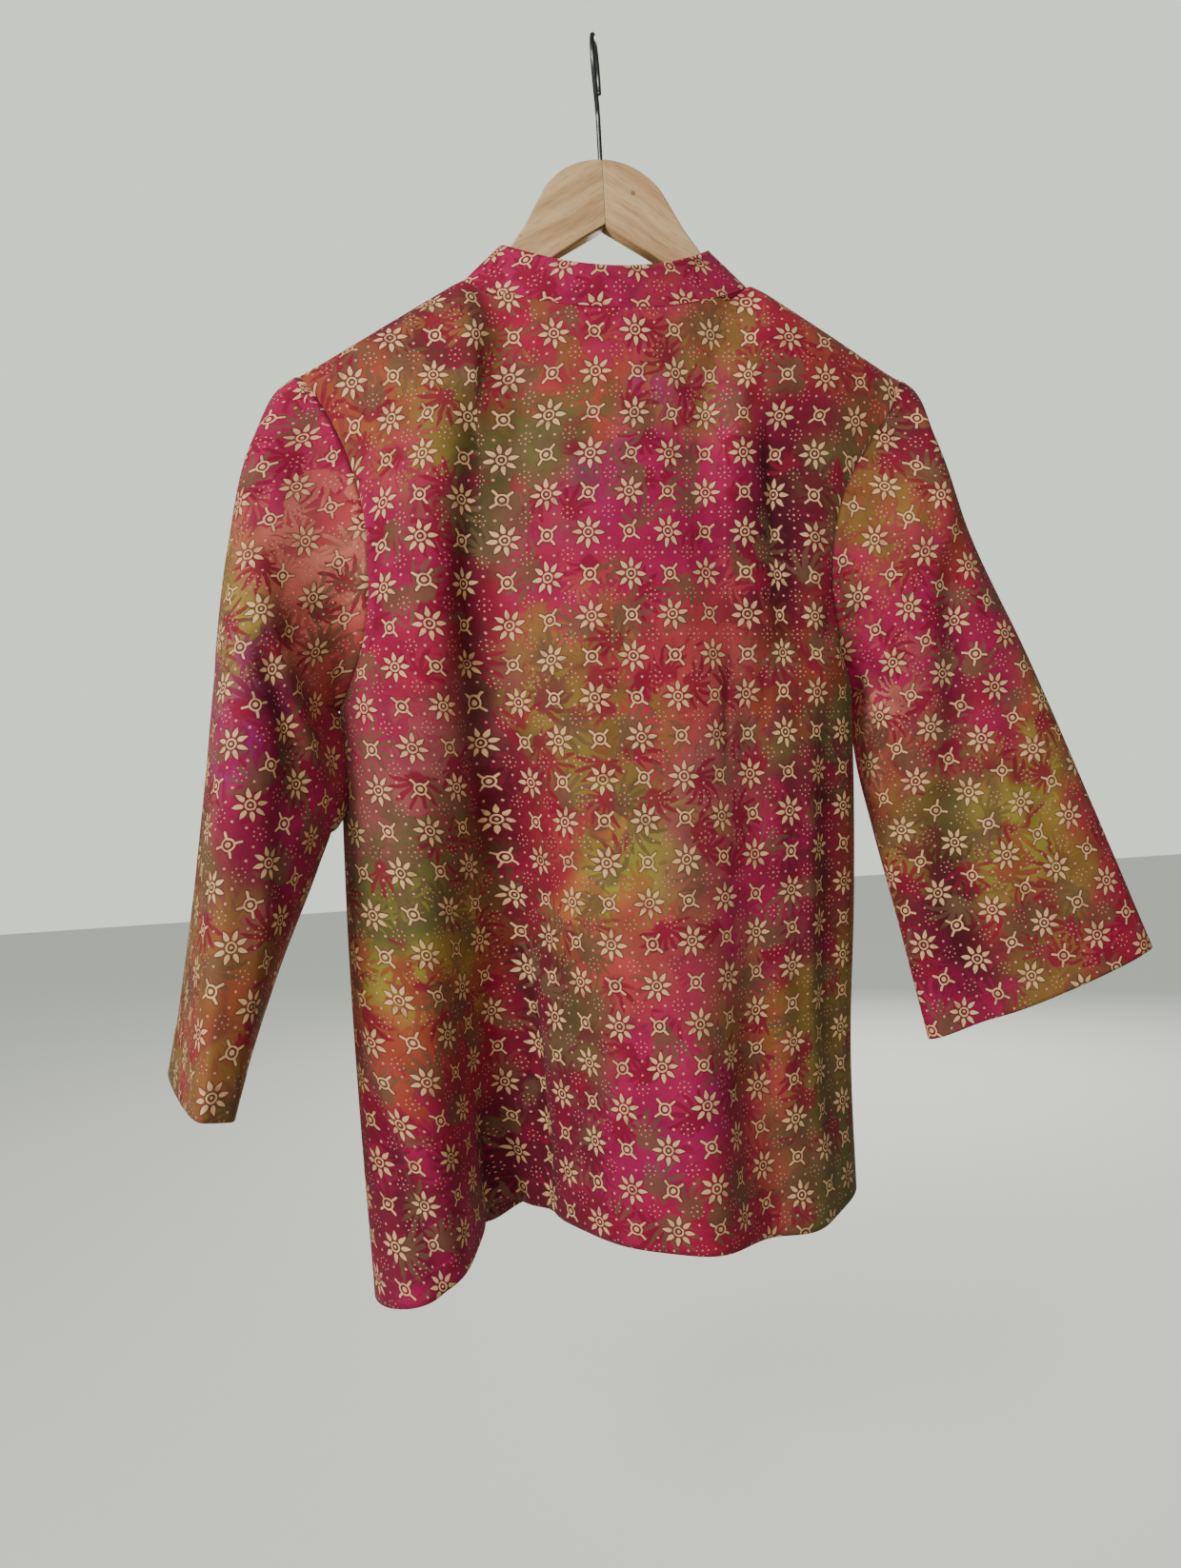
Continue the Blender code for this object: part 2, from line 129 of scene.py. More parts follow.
# The body's levels below the armholes, each turned by some degrees about turnCentre, the hem's height
# at shares of the width from right to left, and the armhole seam from the shoulder to the underarm.
BodyRow = namedtuple("BodyRow", "z left right sideY back front turn")
HemPlace = namedtuple("HemPlace", "across back front")
ArmholeRow = namedtuple("ArmholeRow", "z left right backY frontY")
body = {
    "rows": [
        BodyRow(-0.446, 0.194, -0.168, -0.026, 0.040, -0.082, 0.0),
        BodyRow(-0.520, 0.196, -0.168, -0.030, 0.040, -0.092, 1.0),
        BodyRow(-0.600, 0.197, -0.167, -0.034, 0.039, -0.102, 3.0),
        BodyRow(-0.700, 0.196, -0.163, -0.038, 0.038, -0.112, 5.5),
        BodyRow(-0.840, 0.192, -0.166, -0.042, 0.036, -0.122, 8.0),
    ],
    "hem": [
        HemPlace(-1.0, -0.812, -0.812),
        HemPlace(-0.7, -0.825, -0.816),
        HemPlace(-0.3, -0.820, -0.818),
        HemPlace(0.1, -0.812, -0.820),
        HemPlace(0.45, -0.806, -0.819),
        HemPlace(0.66, -0.823, -0.822),
        HemPlace(1.0, -0.842, -0.842),
    ],
    "armhole": [
        ArmholeRow(-0.2308, 0.208, -0.208, 0.0, 0.0),
        ArmholeRow(-0.236, 0.2045, -0.205, 0.007, -0.008),
        ArmholeRow(-0.252, 0.1945, -0.197, 0.0105, -0.016),
        ArmholeRow(-0.276, 0.1830, -0.180, 0.011, -0.024),
        ArmholeRow(-0.302, 0.1750, -0.162, 0.014, -0.035),
        ArmholeRow(-0.355, 0.1700, -0.146, 0.015, -0.053),
        ArmholeRow(-0.400, 0.1745, -0.149, 0.006, -0.056),
        ArmholeRow(-0.428, 0.1840, -0.158, -0.008, -0.046),
        ArmholeRow(-0.446, 0.194, -0.168, -0.026, -0.026),
    ],
    "turnCentre": (0.012, -0.040),
    "square": 3.2,  # how square the section is, as a power of the share of the width
    "fullBy": 0.6,  # share of the rise to the shoulder where the section is rounded off
    "overShoulder": 7,  # power of the rise, higher for a tighter bend over the shoulder
    "neckCurve": (0.75, 0.9),  # powers of the neck edge's fall, at the back and the front
    "neckShare": (1.12, 0.40),  # where the cloth begins to run into the neck, in half widths of it
    "printShift": (0.0107, 0.0044),
    "edgeClear": 0.05,  # share of the width and rise at the edges that no crease reaches
    "backFolds": [
        Fold(0.45, 0.235, 0.112, -0.205, -0.880),
        Fold(-0.50, 0.15, 0.013, -0.235, -0.380),
        Fold(-0.18, 0.16, -0.012, -0.480, -0.800),
        Fold(-0.84, 0.13, 0.010, -0.450, -0.860),
    ],
    "frontFolds": [
        Fold(0.52, 0.17, 0.036, -0.300, -0.860),
        Fold(-0.48, 0.19, 0.040, -0.280, -0.860),
        Fold(0.82, 0.12, -0.012, -0.500, -0.820),
        Fold(-0.80, 0.12, 0.016, -0.520, -0.820),
    ],
}


def neckEdge(x, back):
    x = np.abs(x)
    reach = np.maximum(0.0, 1 - (x / size["neckHalf"]) ** 2)
    deepY, deepZ = size["nape"] if back else size["throat"]
    inY = deepY * np.sqrt(reach)
    inZ = size["neckSide"] + (deepZ - size["neckSide"]) * reach ** body["neckCurve"][0 if back else 1]
    outZ = size["neckSide"] - (x - size["neckHalf"]) * math.tan(size["slope"])
    inside = x < size["neckHalf"]
    return np.where(inside, inY, 0.0), np.where(inside, inZ, outZ)


def lowerPoint(across, drop, back):
    places = [place.across for place in body["hem"]]
    hem = readTable(places, [place.back if back else place.front for place in body["hem"]], across)
    z = size["underarm"] + (hem - size["underarm"]) * drop
    rows = body["rows"]
    left, right = readColumn(rows, "left", z), readColumn(rows, "right", z)
    side = readColumn(rows, "sideY", z)
    reach = readColumn(rows, "back" if back else "front", z)
    full = np.sqrt(np.maximum(0.0, 1 - np.abs(across) ** body["square"]))
    inwards = foldDepth(body["backFolds" if back else "frontFolds"], across, z) * full
    x = (left + right) / 2 + (left - right) / 2 * across
    y = side + (reach - side) * full + (-inwards if back else inwards)
    turn = np.radians(readColumn(rows, "turn", z))
    midX, midY = body["turnCentre"]
    dx, dy = x - midX, y - midY
    return midX + dx * np.cos(turn) - dy * np.sin(turn), midY + dx * np.sin(turn) + dy * np.cos(turn), z


def upperPoint(across, rise, back):
    edgeZ = size["underarm"] + (size["shoulder"] - size["underarm"]) * rise
    left = readColumn(body["armhole"], "left", edgeZ)
    right = readColumn(body["armhole"], "right", edgeZ)
    x = (left + right) / 2 + (left - right) / 2 * across
    topX = size["shoulderHalf"] * across
    topY, topZ = neckEdge(topX, back)
    z = size["underarm"] + (topZ - size["underarm"]) * rise
    edgeY = readColumn(body["armhole"], "backY" if back else "frontY", edgeZ)
    reach = readColumn(body["rows"], "back" if back else "front", size["underarm"])
    full = np.maximum(0.0, 1 - np.abs(across) ** body["square"]) ** (0.5 + 0.5 * ease(rise / body["fullBy"]))
    inwards = foldDepth(body["backFolds" if back else "frontFolds"], across, z) * full
    bulge = reach + (-inwards if back else inwards)
    hung = edgeY + (bulge - edgeY) * full
    overShoulder = edgeY + (hung - edgeY) * np.sqrt(np.maximum(0.0, 1 - rise ** body["overShoulder"]))
    intoNeck = hung + (topY - hung) * ease(rise)
    widest, blend = body["neckShare"]
    neckShare = ease((size["neckHalf"] * widest - np.abs(topX)) / (size["neckHalf"] * blend))
    y = overShoulder * (1 - neckShare) + intoNeck * neckShare
    seam = size["shoulderGap"] if back else -size["shoulderGap"]
    return x, np.where(rise >= 1.0, topY + seam, y), z


def bodyPoints(across, rise, back):
    across, rise = np.broadcast_arrays(across, rise)
    low = np.stack(lowerPoint(across, np.maximum(0.0, -rise), back), axis=-1)
    high = np.stack(upperPoint(across, np.maximum(0.0, rise), back), axis=-1)
    points = np.where((rise <= 0.0)[..., None], low, high)
    points[..., 1] += size["gap"] / 2 if back else -size["gap"] / 2
    return points


# Grids of points: every sheet below is an array of rows and columns with its own cloth coordinates.
def gridNormals(points, wrap=False):
    if wrap:
        over = np.roll(points, -1, axis=1) - np.roll(points, 1, axis=1)
    else:
        over = np.gradient(points, axis=1)
    along = np.gradient(points, axis=0)
    normal = np.cross(over, along)
    return normal / np.maximum(1e-9, np.linalg.norm(normal, axis=-1, keepdims=True))


def flatLengths(points, axis, drop):
    steps = np.diff(points, axis=axis)
    steps = steps - drop * (steps @ drop)[..., None]
    length = np.linalg.norm(steps, axis=-1)
    total = np.cumsum(length, axis=axis)
    start = np.zeros_like(np.take(total, [0], axis=axis))
    return np.concatenate([start, total], axis=axis)


# A crease runs from one end to the other in millimetres of cloth, bent sideways by bend, and fades at
# both ends. Positive depth is a trough.
Crease = namedtuple("Crease", "u0 v0 u1 v1 width depth bend")


def creaseDepth(creases, cloth):
    total = np.zeros(cloth.shape[:-1])
    for crease in creases:
        c = Crease(*(value / 1000 for value in crease))
        start, end = np.array([c.u0, c.v0]), np.array([c.u1, c.v1])
        way = end - start
        length = np.linalg.norm(way)
        way = way / length
        offset = cloth - start
        t = offset @ way / length
        inside = np.clip(t, 0.0, 1.0)
        side = offset @ np.array([-way[1], way[0]]) - c.bend * 4 * inside * (1 - inside)
        past = np.maximum(0.0, np.abs(t - 0.5) - 0.5) * length
        fade = np.sqrt(np.maximum(0.0, np.sin(np.pi * inside))) * np.exp(-((past / c.width) ** 2))
        total += c.depth * fade * np.exp(-((side / c.width) ** 2))
    return total


# Each dye lies in patches, given by their middles and reach in millimetres of cloth. One dye fills the
# cloth between them, and the fronds carry the dye that lies near them, at this shift.
dyeing = {
    "between": "crimson",
    "fade": 1.6,
    "least": 1e-6,
    "seed": 7,
    "drift": (0.012, 0.11),
    "near": (0.026, -0.034),
    # foldShade is painted shade: how much the colour is darkened at most, and the fold depth at which that
    # is reached.
    "foldShade": (0.6, 0.011),
}


def dyeAndShadeColours(patches, cloth):
    weights = np.full(cloth.shape[:-1], dyeing["least"])
    colours = weights[..., None] * np.array(dyes[dyeing["between"]])
    for dye, spots in patches.items():
        for u, v, reach in spots:
            away = (cloth * 1000 - (u, v)) / reach
            weight = np.exp(-dyeing["fade"] * (away**2).sum(axis=-1))
            weights += weight
            colours += weight[..., None] * np.array(dyes[dye])
    return colours / weights[..., None]


def wander(cloth):
    # A smooth made-up drift of the cloth coordinates, so that no dye edge is round.
    rng = np.random.default_rng(dyeing["seed"])
    reach, scale = dyeing["drift"]
    moved = cloth.copy()
    for octave in range(3):
        for axis in range(2):
            for wave in range(4):
                angle, phase = rng.uniform(0, 2 * math.pi, 2)
                k = 2 * math.pi / (scale / 1.8**octave) * rng.uniform(0.7, 1.3)
                flow = cloth[..., 0] * math.cos(angle) + cloth[..., 1] * math.sin(angle)
                moved[..., axis] += reach / 2.6 / 1.7**octave * np.sin(k * flow + phase)
    return moved


def creaseShade(depth):
    # Painted shade: the cloth deep in a fold gets less of the room's light than its neighbours, so its
    # colour is darkened here.
    darkest, deepest = dyeing["foldShade"]
    return 1.0 - darkest * np.clip(depth / deepest, 0.0, 1.0)


def addGrid(name, points, cloth, seams, patches, wrap=False, grain=0.0, shade=None):
    # cloth and seams hold one more column than points where the grid wraps round.
    rows, columns = points.shape[:2]
    made = bpy.data.meshes.new(name)
    index = np.arange(rows * columns).reshape(rows, columns)
    a = index if wrap else index[:, :-1]
    b = np.roll(index, -1, axis=1) if wrap else index[:, 1:]
    faces = np.stack([a[:-1], b[:-1], b[1:], a[1:]], axis=-1).reshape(-1, 4)
    made.from_pydata(points.reshape(-1, 3).tolist(), [], faces.tolist())

    def corners(values):
        left, right = values[:, :-1], values[:, 1:]
        return np.stack([left[:-1], right[:-1], right[1:], left[1:]], axis=2).reshape(-1, values.shape[-1])

    cosine, sine = math.cos(grain), math.sin(grain)
    turned = cloth @ np.array([[cosine, sine], [-sine, cosine]])
    for layer, values in (("cloth", turned), ("seams", seams)):
        uv = made.uv_layers.new(name=layer)
        uv.data.foreach_set("uv", corners(values).ravel())
    moved = wander(cloth)
    for layer, shift in (("dye", (0.0, 0.0)), ("nearDyeAndShade", dyeing["near"])):
        colour = dyeAndShadeColours(patches, moved + np.array(shift))
        # Painted shade is multiplied into the dye colours: the fold shade, and on the sleeves also the seam
        # shade.
        if shade is not None:
            colour = colour * shade[..., None]
        colour = np.concatenate([colour, np.ones(colour.shape[:-1] + (1,))], axis=-1)
        attribute = made.color_attributes.new(name=layer, type="FLOAT_COLOR", domain="CORNER")
        attribute.data.foreach_set("color", corners(colour).ravel())
    made.shade_smooth()
    piece = bpy.data.objects.new(name, made)
    bpy.context.scene.collection.objects.link(piece)
    wall = piece.modifiers.new("cloth", "SOLIDIFY")
    wall.thickness = size["cloth"]
    wall.offset = 0.0
    return piece


def finishCloth(piece, node):
    piece.data.materials.append(cotton)
    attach(piece, "root")
    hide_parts(node)


# Shader values: a Field is one that adds and multiplies as a number does, by nodes in its own tree.
class Field:
    def __init__(self, socket):
        self.socket = socket

    def __add__(self, other):
        return calc("ADD", self, other)

    def __sub__(self, other):
        return calc("SUBTRACT", self, other)

    def __rsub__(self, other):
        return calc("SUBTRACT", other, self)

    def __mul__(self, other):
        return calc("MULTIPLY", self, other)

    def __truediv__(self, other):
        return calc("DIVIDE", self, other)

    def __abs__(self):
        return calc("ABSOLUTE", self)


def treeOf(values):
    return next(value.socket.id_data for value in values if isinstance(value, Field))


def plug(value, socket):
    if isinstance(value, Field):
        socket.id_data.links.new(value.socket, socket)
    else:
        socket.default_value = value


def addNode(tree, kind, values=(), **settings):
    node = tree.nodes.new("ShaderNode" + kind)
    for key, value in settings.items():
        setattr(node, key, value)
    for value, socket in zip(values, node.inputs):
        plug(value, socket)
    return node


def calc(operation, *values):
    return Field(addNode(treeOf(values), "Math", values, operation=operation).outputs[0])


def vectorMath(operation, *values):
    return Field(addNode(treeOf(values), "VectorMath", values, operation=operation).outputs[0])


def most(first, second):
    return calc("MAXIMUM", first, second)


def ramp(value, low, high, start=0.0, end=1.0, smooth=True):
    kind = "SMOOTHSTEP" if smooth else "LINEAR"
    values = (value, low, high, start, end)
    return Field(addNode(treeOf(values), "MapRange", values, interpolation_type=kind).outputs["Result"])


def mixColour(share, first, second):
    node = addNode(treeOf((share, first, second)), "Mix", data_type="RGBA")
    for place, value in ((0, share), (6, first), (7, second)):
        plug(value, node.inputs[place])
    return Field(node.outputs[2])


def noise(place, scale, detail=2.0, kind="Fac"):
    node = addNode(place.socket.id_data, "TexNoise")
    for key, value in (("Vector", place), ("Scale", scale), ("Detail", detail)):
        plug(value, node.inputs[key])
    return Field(node.outputs[kind])


def split(vector):
    node = addNode(vector.socket.id_data, "SeparateXYZ", [vector])
    return [Field(output) for output in node.outputs]


def join(x, y, z=0.0):
    return Field(addNode(treeOf((x, y, z)), "CombineXYZ", (x, y, z)).outputs[0])


def length(x, y):
    return calc("SQRT", x * x + y * y)


def spokes(angle, radius, count):
    # The point's place beside the nearest of count spokes: how far along it and how far off it.
    step = 2 * math.pi / count
    turn = angle / step
    off = (turn - calc("ROUND", turn)) * step
    return radius * calc("COSINE", off), radius * calc("SINE", off)


def millimetres(place):
    return split(vectorMath("MULTIPLY", place, (1000.0, 1000.0, 0.0)))[:2]


def beside(cloth, u, v):
    return vectorMath("ADD", cloth, (u, v, 0.0))


def drifted(place, cloth, scale, detail, reach):
    # The place, pushed about by a smooth noise on the cloth.
    drift = vectorMath("SUBTRACT", noise(cloth, scale, detail, "Color"), (0.5, 0.5, 0.5))
    return vectorMath("ADD", place, vectorMath("MULTIPLY", drift, (reach, reach, 0.0)))


def newGroup(name, inputs, outputs):
    tree = bpy.data.node_groups.new(name, "ShaderNodeTree")
    for label, kind in inputs:
        tree.interface.new_socket(name=label, in_out="INPUT", socket_type="NodeSocket" + kind)
    for label in outputs:
        tree.interface.new_socket(name=label, in_out="OUTPUT", socket_type="NodeSocketFloat")
    entry = tree.nodes.new("NodeGroupInput")
    leave = tree.nodes.new("NodeGroupOutput")
    return tree, {socket.name: Field(socket) for socket in entry.outputs}, leave.inputs


def useGroup(group, **inputs):
    node = addNode(treeOf(inputs.values()), "Group", node_tree=group)
    for key, value in inputs.items():
        plug(value, node.inputs[key])
    return {socket.name: Field(socket) for socket in node.outputs}


def newMaterial(name):
    made = bpy.data.materials.new(name)
    made.use_nodes = True
    return made, made.node_tree, made.node_tree.nodes["Principled BSDF"].inputs


def placeOn(tree, kind):
    return Field(addNode(tree, "TexCoord").outputs[kind])


def finishLook(shader, colour, roughness, height, strength, distance):
    plug(colour, shader["Base Color"])
    plug(roughness, shader["Roughness"])
    bump = addNode(treeOf([height]), "Bump")
    for key, value in (("Strength", strength), ("Distance", distance), ("Height", height)):
        plug(value, bump.inputs[key])
    plug(Field(bump.outputs[0]), shader["Normal"])


def makeCloudy(plan):
    # A finish of two cloudy tones with a fine grain of its own.
    made, tree, shader = newMaterial(plan["name"])
    place = placeOn(tree, "Object")
    cloudy = noise(place, *plan["clouds"])
    colour = mixColour(ramp(cloudy, *plan["spread"]), *plan["tones"])
    roughness = ramp(cloudy, 0.3, 0.7, *plan["roughness"], smooth=False)
    grain = noise(vectorMath("MULTIPLY", place, plan["stretch"]), *plan["grain"])
    finishLook(shader, colour, roughness, grain, plan["bump"], 0.0002)
    plug(plan["metallic"], shader["Metallic"])
    return made


# The wax-resist print, all sizes in millimetres of cloth. Flowers and crosses take turns on a square
# grid, rings of fine dots stand at the corners between them, and pairs of dots between those.
motif = {
    "pitch": (27.2, 26.8),
    "petals": 8,
    "petal": (4.2, 10.9, 4.2),
    "petalTrim": 0.12,
    "flowerRing": (2.85, 0.56),
    "flowerDot": 0.95,
    "crossRing": (3.55, 0.55),
    "crossDot": 1.65,
    "crossArms": 4,
    "crossArm": (4.2, 7.8, 0.74),
    "dots": 8,
    "dotRing": (3.9, 0.50),
    "dotMiddle": 0.66,
    "pairDot": (4.6, 0.84),
    "lean": 0.42,
    "soft": 0.16,
    "rim": (-1.15, -0.30),
    "fineRim": 0.62,
}


def ringAndDot(radius, ring, dot):
    middle, half = ring
    return most(half - abs(radius - middle), dot - radius)


def makePrint():
    group, entry, leave = newGroup("batikPrint", [("Cloth", "Vector")], ["Wax", "Fine", "Edge"])
    cloth = entry["Cloth"]
    moved = drifted(cloth, cloth, 260.0, 1.0, 0.0009)
    u, v = millimetres(drifted(moved, cloth, 9.0, 1.0, 0.009))
    pitchU, pitchV = motif["pitch"]
    stepU, stepV = u / pitchU, v / pitchV
    cellU, cellV = calc("ROUND", stepU), calc("ROUND", stepV)
    middleU, middleV = (stepU - cellU) * pitchU, (stepV - cellV) * pitchV
    cornerU, cornerV = (calc("FRACT", stepU) - 0.5) * pitchU, (calc("FRACT", stepV) - 0.5) * pitchV
    # Each stamp was set down with a small turn of its own.
    chance = addNode(group, "TexWhiteNoise", noise_dimensions="2D")
    plug(join(cellU, cellV), chance.inputs["Vector"])
    lean = (Field(chance.outputs["Value"]) - 0.5) * motif["lean"]
    radius = length(middleU, middleV)
    angle = calc("ARCTAN2", middleV, middleU) + lean

    along, off = spokes(angle, radius, motif["petals"])
    inner, outer, fat = motif["petal"]
    share = ramp(along, inner, outer, smooth=False)
    width = calc("SQRT", share) * (1.0 - share) * fat - motif["petalTrim"]
    beyond = most(along - outer, inner - along)
    petal = width - (abs(off) + most(beyond, 0.0))
    flower = most(petal, ringAndDot(radius, motif["flowerRing"], motif["flowerDot"]))

    along, off = spokes(angle + math.pi / 4, radius, motif["crossArms"])
    inner, outer, half = motif["crossArm"]
    nearest = calc("MINIMUM", most(along, inner), outer)
    arm = half - length(along - nearest, off)
    cross = most(arm, ringAndDot(radius, motif["crossRing"], motif["crossDot"]))

    picked = calc("GREATER_THAN", calc("FLOORED_MODULO", cellU + cellV, 2.0), 0.5)
    stamp = flower * picked + cross * (1.0 - picked)

    cornerRadius = length(cornerU, cornerV)
    along, off = spokes(calc("ARCTAN2", cornerV, cornerU), cornerRadius, motif["dots"])
    middle, half = motif["dotRing"]
    rings = most(half - length(along - middle, off), motif["dotMiddle"] - cornerRadius)
    apart, half = motif["pairDot"]
    sideways = length(abs(middleU) - apart, cornerV)
    upright = length(cornerU, abs(middleV) - apart)
    fine = most(rings, half - calc("MINIMUM", sideways, upright))

    soft = motif["soft"]
    strength = calc("MULTIPLY_ADD", ramp(stamp, -soft, soft), 0.12, 0.88)
    worn = ramp(noise(cloth, 90.0, 3.0), 0.30, 0.50, 0.55, 1.0)
    plug(ramp(most(stamp, fine), -soft, soft) * worn * strength, leave["Wax"])
    plug(calc("GREATER_THAN", fine, stamp), leave["Fine"])
    plug(ramp(most(stamp, fine - motif["fineRim"]), *motif["rim"]), leave["Edge"])
    return group


def makeFronds():
    # Stamped fans of curved strokes, like fronds, that spread one dye over the next.
    group, entry, leave = newGroup("frondStamps", [("Cloth", "Vector"), ("Scale", "Float")], ["Fronds"])
    moved = drifted(entry["Cloth"], entry["Cloth"], 120.0, 2.0, 0.004)
    scaled = vectorMath("MULTIPLY", moved, join(entry["Scale"], entry["Scale"]))
    cells = addNode(group, "TexVoronoi", voronoi_dimensions="2D")
    for key, value in (("Vector", scaled), ("Scale", 1.0)):
        plug(value, cells.inputs[key])
    x, y, _ = split(vectorMath("SUBTRACT", scaled, Field(cells.outputs["Position"])))
    radius = length(x, y)
    chances = addNode(group, "SeparateColor", [Field(cells.outputs["Color"])]).outputs
    angle = calc("ARCTAN2", y, x) + Field(chances[0]) * (2 * math.pi)
    curl = radius * calc("MULTIPLY_ADD", Field(chances[1]), 2.4, -1.2)
    fingers = calc("COSINE", (angle + curl) * 13.0)
    fan = ramp(calc("COSINE", angle), -0.6, 0.1)
    limit = ramp(radius, 0.14, 0.62, -1.2, 1.05, smooth=False)
    plug(ramp((fingers + 1.0) * fan - (limit + 1.0), -0.10, 0.22), leave["Fronds"])
    return group


def makeStitches():
    # Seams: x runs along the seam and y across it, in metres, with the thread at y = 0.
    group, entry, leave = newGroup("stitchLine", [("Seams", "Vector")], ["Thread", "Turned"])
    x, y = millimetres(entry["Seams"])
    dash = ramp(abs(calc("FRACT", x / 3.0) - 0.5), 0.36, 0.44, 1.0, 0.0)
    plug(dash * ramp(abs(y), 0.22, 0.48, 1.0, 0.0), leave["Thread"])
    plug(ramp(y, -0.3, 0.9, 1.0, 0.0), leave["Turned"])
    return group


cottonPlan = {
    "frondRim": (0.12, 0.012, 0.03, 1.0),
    "crimsonFronds": tone(126, 16, 44),
    "dullFronds": tone(98, 76, 52),
    "clearOfDull": (0.030, 0.014, 0.0),
    "waxRim": (0.075, 0.010, 0.016, 1.0),
    "waxed": tone(236, 192, 134),
    "fineWaxed": tone(238, 160, 138),
    "thread": tone(150, 40, 70),
    "threadPitch": 0.42,
}


def makeCotton():
    made, tree, shader = newMaterial("batikCotton")
    cloth, sewn = [Field(addNode(tree, "UVMap", uv_map=name).outputs[0]) for name in ("cloth", "seams")]
    # The dye layers carry the dyes with painted shade multiplied in.
    colours = [addNode(tree, "Attribute", attribute_name=name) for name in ("dye", "nearDyeAndShade")]
    ground, near = [Field(node.outputs["Color"]) for node in colours]
    stamps = useGroup(makePrint(), Cloth=cloth)
    stitches = useGroup(makeStitches(), Seams=sewn)
    fronds = makeFronds()
    large = useGroup(fronds, Cloth=cloth, Scale=25.0)["Fronds"]
    small = useGroup(fronds, Cloth=beside(cloth, 0.37, 0.21), Scale=35.0)["Fronds"]
    spread = most(large, small) * ramp(noise(cloth, 13.0), 0.36, 0.44)
    colour = mixColour(spread * 0.85, ground, near)
    colour = mixColour(spread * (1.0 - spread) * 1.4, colour, cottonPlan["frondRim"])
    crimson = useGroup(fronds, Cloth=beside(cloth, 0.81, 0.54), Scale=29.0)["Fronds"]
    patchy = ramp(noise(beside(cloth, 0.5, 0.9), 15.0), 0.46, 0.52)
    colour = mixColour(crimson * patchy * 0.85, colour, cottonPlan["crimsonFronds"])
    # A third, duller stamping crosses the reds. The collar's strip was cut clear of it.
    dull = useGroup(fronds, Cloth=beside(cloth, 0.23, 0.67), Scale=27.0)["Fronds"]
    patchy = ramp(noise(beside(cloth, 0.1, 0.3), 12.0), 0.46, 0.52)
    fromClear = length(*split(vectorMath("SUBTRACT", cloth, cottonPlan["clearOfDull"]))[:2])
    patchy = patchy * ramp(fromClear, 0.022, 0.030)
    colour = mixColour(dull * patchy * 0.75, colour, cottonPlan["dullFronds"])
    blotch = ramp(noise(cloth, 45.0, 5.0), 0.30, 0.72, 0.80, 1.14, smooth=False)
    shade = addNode(tree, "VectorMath", [colour], operation="SCALE")
    plug(blotch, shade.inputs["Scale"])
    colour = Field(shade.outputs[0])
    colour = mixColour(stamps["Edge"] * 0.68, colour, cottonPlan["waxRim"])
    # The wax broke down in the fine dots, which took a little of the pink.
    pale = mixColour(stamps["Fine"], cottonPlan["waxed"], cottonPlan["fineWaxed"])
    colour = mixColour(stamps["Wax"], colour, mixColour(0.24, pale, colour))
    colour = mixColour(stitches["Thread"] * 0.6, colour, cottonPlan["thread"])

    weave = 2 * math.pi / cottonPlan["threadPitch"]
    warp, weft = [calc("SINE", at * weave) for at in millimetres(cloth)]
    height = warp * weft * 0.05 + noise(cloth, 130.0, 3.0) * 0.9
    height = height + stitches["Turned"] * 0.55 - stitches["Thread"] * 0.3
    roughness = ramp(noise(cloth, 300.0), 0.2, 0.8, 0.70, 0.88, smooth=False)
    finishLook(shader, colour, roughness, height, 0.55, 0.001)
    for key, value in (("Sheen Weight", 0.04), ("Sheen Roughness", 0.5), ("Specular IOR Level", 0.14)):
        plug(value, shader[key])
    return made


cotton = makeCotton()
print("stage: cotton made")


